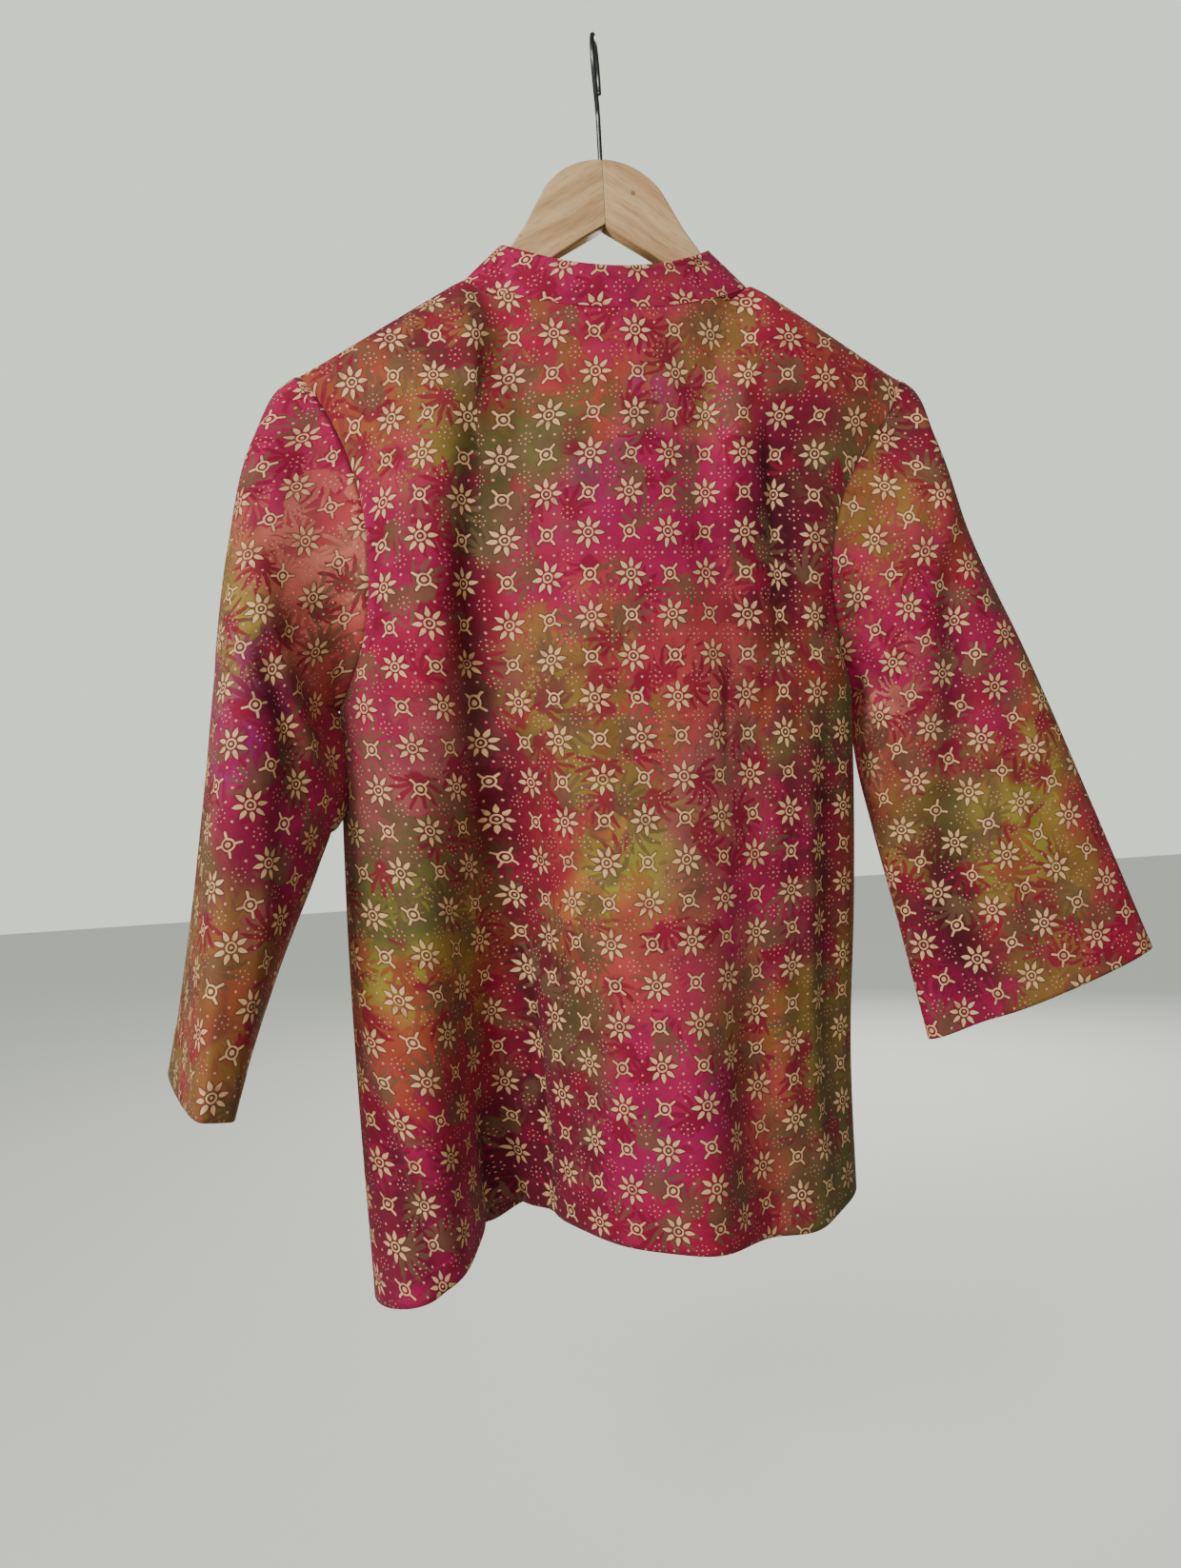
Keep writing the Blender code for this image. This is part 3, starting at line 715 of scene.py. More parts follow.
# Back and fronts
backCloth = {
    "columns": 170,
    "rows": (92, 76),
    "hemWidth": 0.018,
    "creases": [
        Crease(-72, 30, -62, -50, 3.2, 2.2, 2),
        Crease(-92, 26, -94, -20, 3, 1.4, -1),
        Crease(-83, 272, -88, 180, 14, 5, 0),
        Crease(-110, 205, -116, -40, 22, 12, 4),
        Crease(-100, 196, -112, 100, 6, 3, 3),
        Crease(-146, 10, -150, -330, 17, 8, 3),
        Crease(96, 240, 108, -120, 14, 12.5, 2),
        Crease(130, 210, 134, -20, 14, -4.5, 2),
        Crease(112, -60, 114, -390, 12, 10.5, -3),
        Crease(-116, -10, -122, -360, 11, 5.2, 5),
        Crease(-66, -200, -60, -350, 12, 3, -4),
        Crease(86, -20, 80, -230, 18, 5.6, 3),
        Crease(150, -270, 146, -420, 17, 9, 3),
        Crease(256, -240, 244, -400, 14, 7, 3),
        Crease(178, 150, 158, 20, 14, 3.6, 6),
        Crease(150, 236, 96, 160, 12, 3, -8),
        Crease(66, 232, 78, 120, 8, 2.6, 3),
        Crease(50, -150, 54, -330, 20, 4, 4),
        Crease(-20, -200, -26, -360, 18, -3.4, -4),
        Crease(10, 80, -2, -80, 22, 2.2, 8),
        Crease(190, -20, 214, -200, 13, 3.4, -6),
        Crease(238, -80, 246, -330, 10, -3, 4),
        Crease(-20, 236, -60, 190, 9, 1.8, 4),
        Crease(-164, 80, -130, 20, 8, 2.6, -3),
    ],
    # Painted shade: many maroon and moss patches lie along the deep fold, down the shaded right side and at
    # the left lobe's lower edge; the others are dye.
    "patches": {
        "magenta": [
            (-10, 83, 56), (-42, 136, 46), (34, 100, 36), (14, 250, 40), (172, 112, 36), (168, 78, 44),
            (184, 0, 34), (216, -350, 44), (0, -226, 30), (-24, -196, 28), (-80, -154, 46),
            (-78, -120, 32), (-58, -164, 36), (8, -280, 50), (44, -290, 36), (-30, -300, 34),
        ],
        "purple": [(12, 156, 26), (6, -298, 20)],
        "crimson": [
            (60, 236, 34), (-80, 236, 30), (-112, 200, 34), (150, 26, 38), (120, 60, 36),
            (-148, 60, 34), (10, 28, 34), (-66, -98, 32), (84, -92, 36), (140, -100, 28),
            (156, -246, 36), (190, -280, 34), (-40, -352, 36),
        ],
        "salmon": [
            (10, 204, 30), (-42, 34, 36), (46, 44, 26), (-6, -22, 26), (24, -196, 34), (-80, -318, 38),
        ],
        "olive": [
            (-44, 214, 30), (124, 190, 38), (150, 172, 32), (70, 10, 28), (46, -26, 30), (26, -70, 30),
            (-8, -148, 28), (-50, -200, 30), (-130, -242, 46),
        ],
        "rust": [
            (-148, 216, 30), (176, 176, 36), (48, 186, 26), (-112, 12, 36), (146, -196, 30),
            (206, -214, 34), (-60, -250, 30), (-156, -150, 36),
        ],
        "maroonAndShade": [
            (-130, 192, 24), (140, 238, 26), (158, 92, 24), (-110, 116, 46), (-104, 60, 36),
            (92, -50, 36), (264, -346, 26), (158, -340, 36), (110, -200, 36), (100, -290, 40),
            (-112, -96, 40), (-120, -166, 36),
        ],
        "mossAndShade": [
            (-150, 150, 30), (104, 136, 36), (68, 152, 32), (-150, -40, 36), (172, -120, 34),
            (210, -140, 34), (62, -214, 34), (-120, -326, 44),
        ],
        "mauve": [(130, -10, 34), (-36, -64, 44), (-34, -112, 30), (172, -62, 44), (206, -60, 30)],
        "lime": [(14, -110, 28), (172, -182, 24), (216, -172, 26)],
        "orange": [(62, -150, 30)],
    },
}
frontCloth = {
    "tuck": (0.0018, 0.0050),  # seam allowance at the side, in and back under the back's edge
    "underlap": 0.012,  # the right front's way under the placket
    "columns": 90,
    "rows": (92, 76),
    "hemWidth": 0.018,
    "creases": {
        1: [
            Crease(100, 150, 80, -20, 15, 5, 8),
            Crease(160, 80, 150, -100, 12, 4, -6),
            Crease(50, -60, 58, -360, 16, 4.6, 5),
            Crease(200, -120, 206, -350, 12, 4, 4),
            Crease(140, 200, 110, 130, 9, 2.4, 4),
            Crease(190, 60, 150, 0, 7, 2.4, -4),
        ],
        -1: [
            Crease(-90, 160, -84, 10, 14, 4.6, -6),
            Crease(-150, 70, -146, -110, 12, 4, 6),
            Crease(-46, -90, -50, -350, 15, 4.4, -5),
            Crease(-180, -100, -186, -340, 11, 3.6, 4),
            Crease(-120, 190, -96, 120, 8, 2.4, -4),
        ],
    },
    "patches": {
        "magenta": [
            (20, 180, 60), (120, 100, 55), (50, -250, 60), (220, -300, 60), (-30, 30, 55),
            (-170, -120, 55), (-50, -320, 60),
        ],
        "rust": [(90, 220, 50), (-100, -60, 50)],
        "olive": [
            (160, 180, 50), (40, 80, 50), (150, -40, 50), (150, -260, 55), (-70, 210, 50),
            (-40, -160, 50),
        ],
        "crimson": [(190, 60, 50), (60, -20, 55), (-140, 190, 50), (-110, -220, 60)],
        "mossAndShade": [(30, -130, 55), (-180, -280, 55)],
        "purple": [(110, -150, 40), (-150, 50, 40)],
        "maroonAndShade": [(200, -140, 55), (90, -360, 50)],
        "lime": [(-100, 120, 50)],
    },
}


def bodySheet(start, end, plan, creases, back):
    rows = plan["rows"]
    shares = np.sin(np.linspace(math.asin(start), math.asin(end), plan["columns"] + 1))
    rises = np.concatenate([
        np.linspace(-1.0, 0.0, rows[0] + 1),
        np.sin(np.linspace(0.0, math.pi / 2, rows[1] + 1))[1:],
    ])
    points = bodyPoints(shares[None, :], rises[:, None], back)
    across = flatLengths(points, 1, np.array([0.0, 0.0, 1.0]))
    centre = np.argmin(np.abs(shares))
    u = across - across[:, centre : centre + 1]
    if end < start:
        u = -u
    up = flatLengths(points, 0, np.array([1.0, 0.0, 0.0]))
    v = up - up[rows[0] : rows[0] + 1]
    cloth = np.stack([u, v], axis=-1) + np.array(body["printShift"])
    seams = np.stack([u, up - plan["hemWidth"]], axis=-1)
    normals = gridNormals(points)
    outward = 1.0 if back else -1.0
    normals *= np.sign(normals[..., 1:2] * outward + 1e-9)
    edge = body["edgeClear"]
    clear = ease((1 - np.abs(shares[None, :])) / edge) * ease((1 - rises[:, None]) / edge)
    depth = creaseDepth(creases, cloth) * clear
    return points - normals * depth[..., None], cloth, seams, creaseShade(depth)


def makeBack():
    points, cloth, seams, shade = bodySheet(1.0, -1.0, backCloth, backCloth["creases"], True)
    piece = addGrid("backCloth", points, cloth, seams, backCloth["patches"], shade=shade)
    finishCloth(piece, "back")


def addColumn(points, cloth, seams, shade, at, shift, reach):
    # One more column beside an edge, for cloth that lies under its neighbour.
    def added(values, step):
        edge = values[:, :1] if at == 0 else values[:, -1:]
        parts = [edge + np.array(step), values] if at == 0 else [values, edge + np.array(step)]
        return np.concatenate(parts, axis=1)

    wider = (reach, 0.0)
    shade = added(shade[..., None], (0.0,))[..., 0]
    return added(points, shift), added(cloth, wider), added(seams, wider), shade


def makeFront(side):
    points, cloth, seams, shade = bodySheet(0.0, float(side), frontCloth, frontCloth["creases"][side], False)
    points[:, 0, 0] += side * size["gap"] / 2
    tuck = frontCloth["tuck"]
    outwards = np.sign(cloth[0, -1, 0] - cloth[0, 0, 0])
    sheet = addColumn(points, cloth, seams, shade, -1, (-side * tuck[0], tuck[1], 0.0), outwards * tuck[1])
    if side < 0:
        under = frontCloth["underlap"]
        sheet = addColumn(*sheet, 0, (under, size["gap"] * 2, 0.0), -outwards * under)
    points, cloth, seams, shade = sheet
    name = "Left" if side > 0 else "Right"
    piece = addGrid(f"front{name}Cloth", points, cloth, seams, frontCloth["patches"], shade=shade)
    finishCloth(piece, f"front_{name.lower()}")


makeBack()
makeFront(1)
makeFront(-1)
print("stage: back and fronts")


# Sleeves, each from levels that slope with it. The outer edge is the fold from shoulder to cuff, the
# inner one is the seam, and a small blunt makes the outer and inner edges round off square.
SleeveRow = namedtuple("SleeveRow", "outerX outerY outerZ innerX innerY innerZ halfDepth lean blunt")
sleeves = {
    "reach": 0.010,  # the first level's way out from the armhole seam
    "drop": 0.0012,
    "slope": 0.0036,
    "tuck": (0.0045, 0.0026),
    "seamAt": 0.0115,  # the seam's place as a share of the sleeve's length
    "round": 160,
    "steps": 140,
    "topStep": 0.0022,
    "levels": 160,
    "smoothTop": 0.08,
    # Painted shade at the armhole seam: the darkest share, and the reach over which it fades.
    "seamShade": (0.30, 0.010),
    "hemWidth": 0.018,
    1: {
        "grain": math.radians(18.0),
        "rows": [
            SleeveRow(0.2390, 0.000, -0.272, 0.2030, -0.024, -0.466, 0.046, 0.000, 1.00),
            SleeveRow(0.2585, 0.002, -0.345, 0.1990, -0.012, -0.512, 0.056, -0.002, 0.86),
            SleeveRow(0.2725, 0.006, -0.440, 0.2135, -0.006, -0.553, 0.066, -0.006, 0.66),
            SleeveRow(0.2880, 0.014, -0.560, 0.2410, 0.000, -0.612, 0.074, -0.014, 0.46),
            SleeveRow(0.3050, 0.022, -0.684, 0.2780, 0.000, -0.692, 0.080, -0.022, 0.32),
        ],
        "folds": [Fold(0.34, 0.090, 0.004, 0.20, 0.55), Fold(0.72, 0.080, 0.012, 0.30, 0.70)],
        "creases": [
            Crease(62, -176, 124, -284, 11, 8.5, 4),
            Crease(200, -130, 174, -290, 24, -12.5, 0),
            Crease(170, -186, 158, -250, 14, -6, 0),
            Crease(100, -236, 112, -340, 12, 4.4, -4),
            Crease(108, -330, 104, -440, 14, 2, 3),
            Crease(30, -60, 48, -130, 7, 2.2, 4),
            Crease(-60, -120, -85, -250, 9, 4.4, 6),
            Crease(-50, -280, -60, -430, 12, 4.4, -4),
            Crease(-110, -180, -90, -280, 8, 3.4, 4),
            Crease(6, -190, 14, -330, 9, 2.2, -4),
        ],
        # Painted shade: the maroon patches lie along the sleeve's dark valleys.
        "patches": {
            "magenta": [
                (52, -55, 42), (56, -98, 34), (152, -236, 34), (78, -272, 28), (116, -300, 34),
                (-30, -180, 50), (-70, -360, 50), (150, -340, 40),
            ],
            "salmon": [
                (96, -86, 30), (80, -160, 30), (132, -170, 32), (166, -212, 28), (146, -266, 26),
            ],
            "olive": [
                (30, -128, 28), (66, -200, 22), (80, -370, 28), (108, -380, 26), (72, -404, 22),
                (96, -414, 26), (50, -404, 22), (80, -446, 20), (66, -462, 24), (100, -452, 20),
                (-90, -150, 50), (-30, -430, 50),
            ],
            "rust": [(64, -130, 22), (54, -366, 24), (-40, -80, 50), (150, -420, 50)],
            "lime": [(46, -168, 34)],
            "apricot": [(104, -142, 52)],
            "purple": [(70, -234, 30)],
            "mauve": [(40, -226, 28), (46, -280, 26), (78, -344, 24)],
            "maroonAndShade": [(108, -214, 26), (110, -254, 28), (86, -306, 30), (104, -340, 28)],
            "mossAndShade": [(56, -318, 24), (-20, -300, 50)],
            "crimson": [
                (64, -424, 24), (94, -394, 22), (92, -434, 22), (50, -430, 24), (-80, -260, 50),
                (-130, -420, 60),
            ],
        },
    },
    -1: {
        "grain": math.radians(9.0),
        "rows": [
            SleeveRow(-0.2280, 0.000, -0.268, -0.1775, -0.034, -0.468, 0.044, 0.000, 1.00),
            SleeveRow(-0.2530, 0.000, -0.342, -0.1810, -0.040, -0.502, 0.042, 0.000, 1.00),
            SleeveRow(-0.2895, 0.004, -0.425, -0.1890, -0.040, -0.547, 0.034, 0.000, 1.00),
            SleeveRow(-0.3360, 0.010, -0.545, -0.2010, -0.030, -0.620, 0.026, 0.000, 1.00),
            SleeveRow(-0.3720, 0.016, -0.644, -0.2110, -0.012, -0.703, 0.020, 0.000, 1.00),
        ],
        "folds": [Fold(0.37, 0.050, 0.010, 0.35, 0.90), Fold(0.70, 0.070, 0.008, 0.30, 0.80)],
        "creases": [
            Crease(44, -120, 108, -295, 12, 8.5, -4),
            Crease(106, -275, 152, -450, 17, 9.6, 3),
            Crease(130, -150, 110, -230, 7, 3, 3),
            Crease(40, -200, 50, -380, 12, 3, 6),
            Crease(28, -50, 60, -120, 8, 2.4, 4),
            Crease(150, -180, 146, -270, 7, 2.6, -3),
            Crease(80, -320, 86, -440, 10, 2.6, -3),
            Crease(-60, -130, -80, -280, 11, 4.4, 6),
            Crease(-120, -200, -130, -380, 11, 4.4, -5),
            Crease(-40, -300, -46, -430, 10, 3.4, 4),
        ],
        # Painted shade: most maroon patches lie along the shaded valley of the lower sleeve.
        "patches": {
            "maroonAndShade": [
                (30, -30, 40), (114, -238, 30), (140, -362, 34), (112, -410, 30), (144, -408, 36),
                (170, -384, 30),
            ],
            "crimson": [
                (84, -44, 30), (45, -142, 30), (88, -264, 24), (24, -346, 28), (22, -398, 36),
                (46, -440, 30), (-100, -160, 50), (-30, -330, 50),
            ],
            "olive": [
                (84, -84, 36), (40, -300, 28), (88, -330, 30), (152, -318, 30), (60, -392, 26),
                (84, -424, 28), (-30, -200, 50), (-60, -420, 50),
            ],
            "rust": [
                (114, -110, 30), (45, -106, 28), (152, -280, 28), (30, -256, 28), (92, -376, 26),
                (-130, -380, 60),
            ],
            "magenta": [
                (106, -166, 44), (64, -170, 40), (40, -190, 40), (142, -170, 34), (86, -206, 34),
                (62, -240, 28), (160, -440, 30), (-40, -80, 50), (-90, -280, 50),
            ],
            "apricot": [(150, -234, 36)],
            "lime": [(67, -306, 34), (56, -346, 36)],
            "mossAndShade": [(116, -310, 28)],
        },
    },
}


def armholePoint(share, side):
    down = (1 - math.cos(2 * math.pi * share)) / 2
    z = size["shoulder"] + (size["underarm"] - size["shoulder"]) * down
    x = readColumn(body["armhole"], "left" if side > 0 else "right", z)
    y = readColumn(body["armhole"], "backY" if share <= 0.5 else "frontY", z)
    return np.array([float(x), float(y), z])


def sleeveSection(row, share):
    angle = 2 * math.pi * share
    outer, inner = np.array(row[:3]), np.array(row[3:6])
    over = np.array([row.lean, row.halfDepth, 0.0])
    across = math.copysign(abs(math.cos(angle)) ** row.blunt, math.cos(angle))
    return (outer + inner) / 2 + (outer - inner) / 2 * across + over * math.sin(angle)


def sleeveCloth(closed, axis, outerColumn):
    # Cloth coordinates: v falls along the axis, and u is the length round the section at that level.
    level = (closed - closed[0, outerColumn]) @ axis
    levels = np.linspace(level.min(), level.max(), sleeves["levels"])
    flat = closed - level[..., None] * axis
    sections = np.stack([
        np.stack([np.interp(levels, level[:, i], flat[:, i, k]) for k in range(3)], axis=-1)
        for i in range(closed.shape[1])
    ])
    steps = np.linalg.norm(np.diff(sections, axis=0), axis=-1)
    reach = np.concatenate([np.zeros((1, len(levels))), np.cumsum(steps, axis=0)])
    reach -= reach[outerColumn]
    u = np.stack([np.interp(level[:, i], levels, reach[i]) for i in range(closed.shape[1])], axis=1)
    return u, -level


def makeSleeve(side):
    plan = sleeves[side]
    count = sleeves["round"]
    # The columns start and end at the underarm, where the sleeve's own seam is.
    shares = (0.5 + np.arange(count) / count) % 1.0
    seamAt = sleeves["seamAt"]
    top = np.arange(0.0, 2 * seamAt, sleeves["topStep"])
    at = np.concatenate([top, np.linspace(2 * seamAt, 1.0, sleeves["steps"] + 1)])
    lines = []
    for share in shares:
        seam = armholePoint(share, side)
        start = seam + np.array([side * 2 * size["seamLift"], 0.0, 0.0])
        # The seam allowance lies under the body's edge.
        within = np.array([0.0, -math.sin(2 * math.pi * share), -math.cos(2 * math.pi * share)])
        tucked = seam + np.array([-side * sleeves["tuck"][0], 0.0, 0.0]) + sleeves["tuck"][1] * within
        drop = sleeves["drop"] + sleeves["slope"] * max(0.0, math.cos(2 * math.pi * share)) ** 2
        level = seam + np.array([side * sleeves["reach"], 0.0, -drop])
        stops = np.array([tucked, start, level] + [sleeveSection(row, share) for row in plan["rows"]])
        lengths = np.concatenate([[0.0], np.cumsum(np.linalg.norm(np.diff(stops, axis=0), axis=1))])
        stations = lengths / lengths[-1]
        lines.append(np.stack([readTable(stations, stops[:, k], at) for k in range(3)], axis=-1))
    points = np.stack(lines, axis=1)
    centre = points.mean(axis=1, keepdims=True)
    inwards = centre - points
    inwards /= np.linalg.norm(inwards, axis=-1, keepdims=True)
    push = foldDepth(plan["folds"], shares[None, :], at[:, None])
    points = points + inwards * push[..., None]
    first, last = plan["rows"][0], plan["rows"][-1]
    axis = np.array(last[:3]) - np.array(first[:3])
    axis /= np.linalg.norm(axis)
    closed = np.concatenate([points, points[:, :1]], axis=1)
    u, v = sleeveCloth(closed, axis, count // 2)
    down = flatLengths(closed, 0, np.zeros(3))
    cloth = np.stack([u, v], axis=-1)
    seams = np.stack([u, down[-1:] - down - sleeves["hemWidth"]], axis=-1)
    normals = gridNormals(points, wrap=True)
    facing = np.sign(-(normals * inwards).sum(axis=-1).mean())
    depth = creaseDepth(plan["creases"], cloth[:, :-1]) * ease(at[:, None] / sleeves["smoothTop"])
    points = points - facing * normals * depth[..., None]
    name = "Left" if side > 0 else "Right"
    # Painted shade: the cloth's colour is darkened where it goes under the body's edge, as well as in its
    # folds.
    deep = np.concatenate([depth, depth[:, :1]], axis=1)
    darkest, reach = sleeves["seamShade"]
    shade = creaseShade(deep) * (darkest + (1 - darkest) * ease((at[:, None] - seamAt) / reach))
    piece = addGrid(f"sleeve{name}Cloth", points, cloth, seams, plan["patches"], True, plan["grain"], shade)
    finishCloth(piece, f"sleeve_{name.lower()}")


makeSleeve(1)
makeSleeve(-1)
print("stage: sleeves")


# Collar band and placket
collarPlan = {
    "tuck": (0.0050, 0.0020),
    "topHalf": 0.072,
    "topSide": -0.1415,
    "topNape": (0.034, -0.1675),
    "topThroat": (-0.062, -0.2120),
    "opening": 0.004,
    "columns": 220,
    "rows": 14,
    "curve": (1.5, 1.8),
    "printShift": (0.0401, -0.0040),
    "stitchIn": 0.003,
    "patches": {
        "magenta": [(40, 10, 60), (130, 10, 50), (-30, 16, 44), (-210, 10, 60)],
        "rust": [(90, -6, 20), (260, 10, 50)],
        "crimson": [(-90, 10, 40), (200, 10, 50)],
        "olive": [(-140, 10, 50)],
    },
}


def bandRing(half, side, nape, throat, angle):
    sine = np.sin(angle)
    share = np.abs(sine)
    reachY = np.where(sine > 0, nape[0], throat[0])
    reachZ = np.where(sine > 0, nape[1], throat[1])
    power = np.where(sine > 0, *collarPlan["curve"])
    return np.stack([half * np.cos(angle), reachY * share, side + (reachZ - side) * share**power], axis=-1)


def makeCollar():
    opening = collarPlan["opening"] / size["neckHalf"]
    angles = np.linspace(-math.pi / 2 + opening, 1.5 * math.pi - opening, collarPlan["columns"] + 1)
    foot = bandRing(size["neckHalf"], size["neckSide"], size["nape"], size["throat"], angles)
    top = bandRing(*(collarPlan[key] for key in ("topHalf", "topSide", "topNape", "topThroat")), angles)
    way = top - foot
    way /= np.linalg.norm(way, axis=-1, keepdims=True)
    foot = foot + way * size["seamLift"]
    t = np.linspace(0.0, 1.0, collarPlan["rows"] + 1)[:, None, None]
    points = foot[None] * (1 - t) + top[None] * t
    # The seam allowance lies inside the neck edge.
    inwards = -foot * np.array([1.0, 1.0, 0.0])
    inwards /= np.linalg.norm(inwards, axis=-1, keepdims=True)
    below = foot - way * collarPlan["tuck"][0] + inwards * collarPlan["tuck"][1]
    points = np.concatenate([below[None], points])
    around = flatLengths((foot + top)[None] / 2, 1, np.zeros(3))[0]
    u = np.broadcast_to(around - around[-1] / 2, points.shape[:2])
    v = flatLengths(points, 0, np.zeros(3))
    cloth = np.stack([u, v], axis=-1) + np.array(collarPlan["printShift"])
    seams = np.stack([u, v[-1:] - v - collarPlan["stitchIn"]], axis=-1)
    piece = addGrid("collarCloth", points, cloth, seams, collarPlan["patches"])
    finishCloth(piece, "collar")


placketPlan = {
    "width": 0.030,
    "columns": 16,
    "rows": (92, 74),
    "top": 0.984,
    "bodyHalf": 0.19,
    "stitchIn": 0.003,
}


def placketPoints(offsets, rises, lift):
    half = np.where(rises > 0, size["shoulderHalf"], placketPlan["bodyHalf"])
    share = offsets / half
    here = bodyPoints(share, rises, False)
    step = 0.01
    low, high = np.maximum(-1.0, rises - step), np.minimum(1.0, rises + step)
    along = bodyPoints(share, high, False) - bodyPoints(share, low, False)
    over = bodyPoints(share + step, rises, False) - bodyPoints(share - step, rises, False)
    normal = np.cross(over, along)
    normal /= np.linalg.norm(normal, axis=-1, keepdims=True)
    normal *= -np.sign(normal[..., 1:2])
    return here + normal * lift


def makePlacket():
    half = placketPlan["width"] / 2
    offsets = np.linspace(-half, half, placketPlan["columns"] + 1)
    low, high = placketPlan["rows"]
    upper = np.linspace(0.0, placketPlan["top"], high + 1)[1:]
    rises = np.concatenate([np.linspace(-1.0, 0.0, low + 1), upper])
    points = placketPoints(offsets[None, :], rises[:, None], size["wall"] + size["gap"])
    up = flatLengths(points, 0, np.array([1.0, 0.0, 0.0]))
    u = np.broadcast_to(offsets[None, :], points.shape[:2])
    v = up - up[low : low + 1]
    seams = np.stack([v, half - np.abs(u) - placketPlan["stitchIn"]], axis=-1)
    piece = addGrid("placketCloth", points, np.stack([u, v], axis=-1), seams, frontCloth["patches"])
    finishCloth(piece, "placket")


makeCollar()
makePlacket()
print("stage: collar and placket")


def addShell(name, node, vertices, faces):
    mesh = bpy.data.meshes.new(name)
    mesh.from_pydata([tuple(v) for v in vertices], [], faces)
    mesh.validate()
    mesh.shade_smooth()
    piece = bpy.data.objects.new(name, mesh)
    bpy.context.scene.collection.objects.link(piece)
    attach(piece, "root")
    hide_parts(node)
    return piece


def tube(path, radius, sides):
    # A round tube along the path, with ends domed in three steps.
    steps, bulge = (0.15, 0.6, 0.95), 0.6
    path = np.asarray(path, dtype=float)
    ahead = np.gradient(path, axis=0)
    ahead /= np.linalg.norm(ahead, axis=1, keepdims=True)
    # Each ring is turned from the direction in which the path is flattest.
    level = np.linalg.svd(path - path.mean(axis=0))[2][-1]
    first, last = -ahead[0] * radius * bulge, ahead[-1] * radius * bulge
    stations = [(path[0] + first * (1 - k), ahead[0], radius * k) for k in steps]
    stations += [(p, a, radius) for p, a in zip(path, ahead)]
    stations += [(path[-1] + last * (1 - k), ahead[-1], radius * k) for k in steps[::-1]]
    turns = np.linspace(0, 2 * math.pi, sides, endpoint=False)
    rings = []
    for middle, along, reach in stations:
        side = level - along * np.dot(level, along)
        side /= np.linalg.norm(side)
        over = np.cross(along, side)
        rings.append([middle + reach * (math.cos(t) * side + math.sin(t) * over) for t in turns])
    vertices = [v for ring in rings for v in ring]
    faces = [tuple(range(sides))[::-1], tuple(range(len(vertices) - sides, len(vertices)))]
    for i in range(len(rings) - 1):
        for j in range(sides):
            k = (j + 1) % sides
            faces.append((i * sides + j, i * sides + k, (i + 1) * sides + k, (i + 1) * sides + j))
    return vertices, faces


# Hanger
wood = {
    "halfThick": 0.0060,
    "easing": 0.0018,
    "mitreGap": 0.0003,
    "crown": (0.050, -0.0825, 54.0, 30),
    "top": [(0.055, -0.1290), (0.070, -0.1500), (0.090, -0.1710), (0.104, -0.1790), (0.140, -0.1975)],
    "tip": (0.009, 0.173, -0.2270, 20.0, 200.0, 16),
    "below": [(0.140, -0.2160), (0.100, -0.1940), (0.062, -0.1670), (0.030, -0.1460)],
    "notch": -0.1285,
    "slope": 31.0,
    "knot": (-0.0203, -0.1055, 0.0016),
    "boards": 0.37,
    "bands": (tone(176, 140, 98), tone(198, 166, 122)),
    "pores": tone(132, 98, 62),
    "flecks": tone(128, 90, 60),
    "knotTone": tone(112, 76, 54),
}


def woodOutline():
    # The crown and the tip are arcs of a radius, at a place, through some degrees and in some steps.
    radius, topZ, turn, steps = wood["crown"]
    crown = np.radians(np.linspace(0.0, turn, steps))
    outline = [(radius * math.sin(a), topZ - radius * (1 - math.cos(a))) for a in crown]
    outline += wood["top"]
    radius, tipX, tipZ, first, last, steps = wood["tip"]
    tip = np.radians(np.linspace(first, last, steps))
    outline += [(tipX + radius * math.sin(a), tipZ + radius * math.cos(a)) for a in tip]
    return outline + wood["below"] + [(0.0, wood["notch"])]


def makeWood():
    made, tree, shader = newMaterial("varnishedWood")
    x, y, z = split(placeOn(tree, "Object"))
    slope = math.radians(wood["slope"])
    outwards = abs(x)
    along = outwards * math.cos(slope) - z * math.sin(slope)
    over = outwards * math.sin(slope) + z * math.cos(slope)
    # Each half was sawn from its own board.
    board = calc("GREATER_THAN", x, 0.0) * wood["boards"]
    bend = (noise(join(along, board), 14.0, 1.0) - 0.5) * 0.02
    grain = join((along + board) * 0.10, over + bend, y)
    broad, fine = noise(grain, 120.0, 3.0), noise(grain, 900.0, 3.0)
    colour = mixColour(ramp(broad, 0.36, 0.64), *wood["bands"])
    colour = mixColour(ramp(fine, 0.50, 0.70, 0.0, 0.38), colour, wood["pores"])
    flecks = ramp(noise(join(along + board, over), 75.0), 0.70, 0.78, 0.0, 0.35)
    colour = mixColour(flecks, colour, wood["flecks"])
    knotX, knotZ, knotReach = wood["knot"]
    fromKnot = length(x - knotX, z - knotZ) + broad * knotReach
    colour = mixColour(ramp(fromKnot, knotReach, knotReach * 2, 0.75, 0.0), colour, wood["knotTone"])
    roughness = ramp(fine, 0.3, 0.7, 0.52, 0.64, smooth=False)
    finishLook(shader, colour, roughness, fine * -1.0, 0.20, 0.0004)
    # Varnish was brushed on the faces and the top edge, and the underside was left bare.
    facing = split(placeOn(tree, "Normal"))[2]
    plug(ramp(facing, -0.6, -0.2, 0.0, 0.10), shader["Specular IOR Level"])
    return made


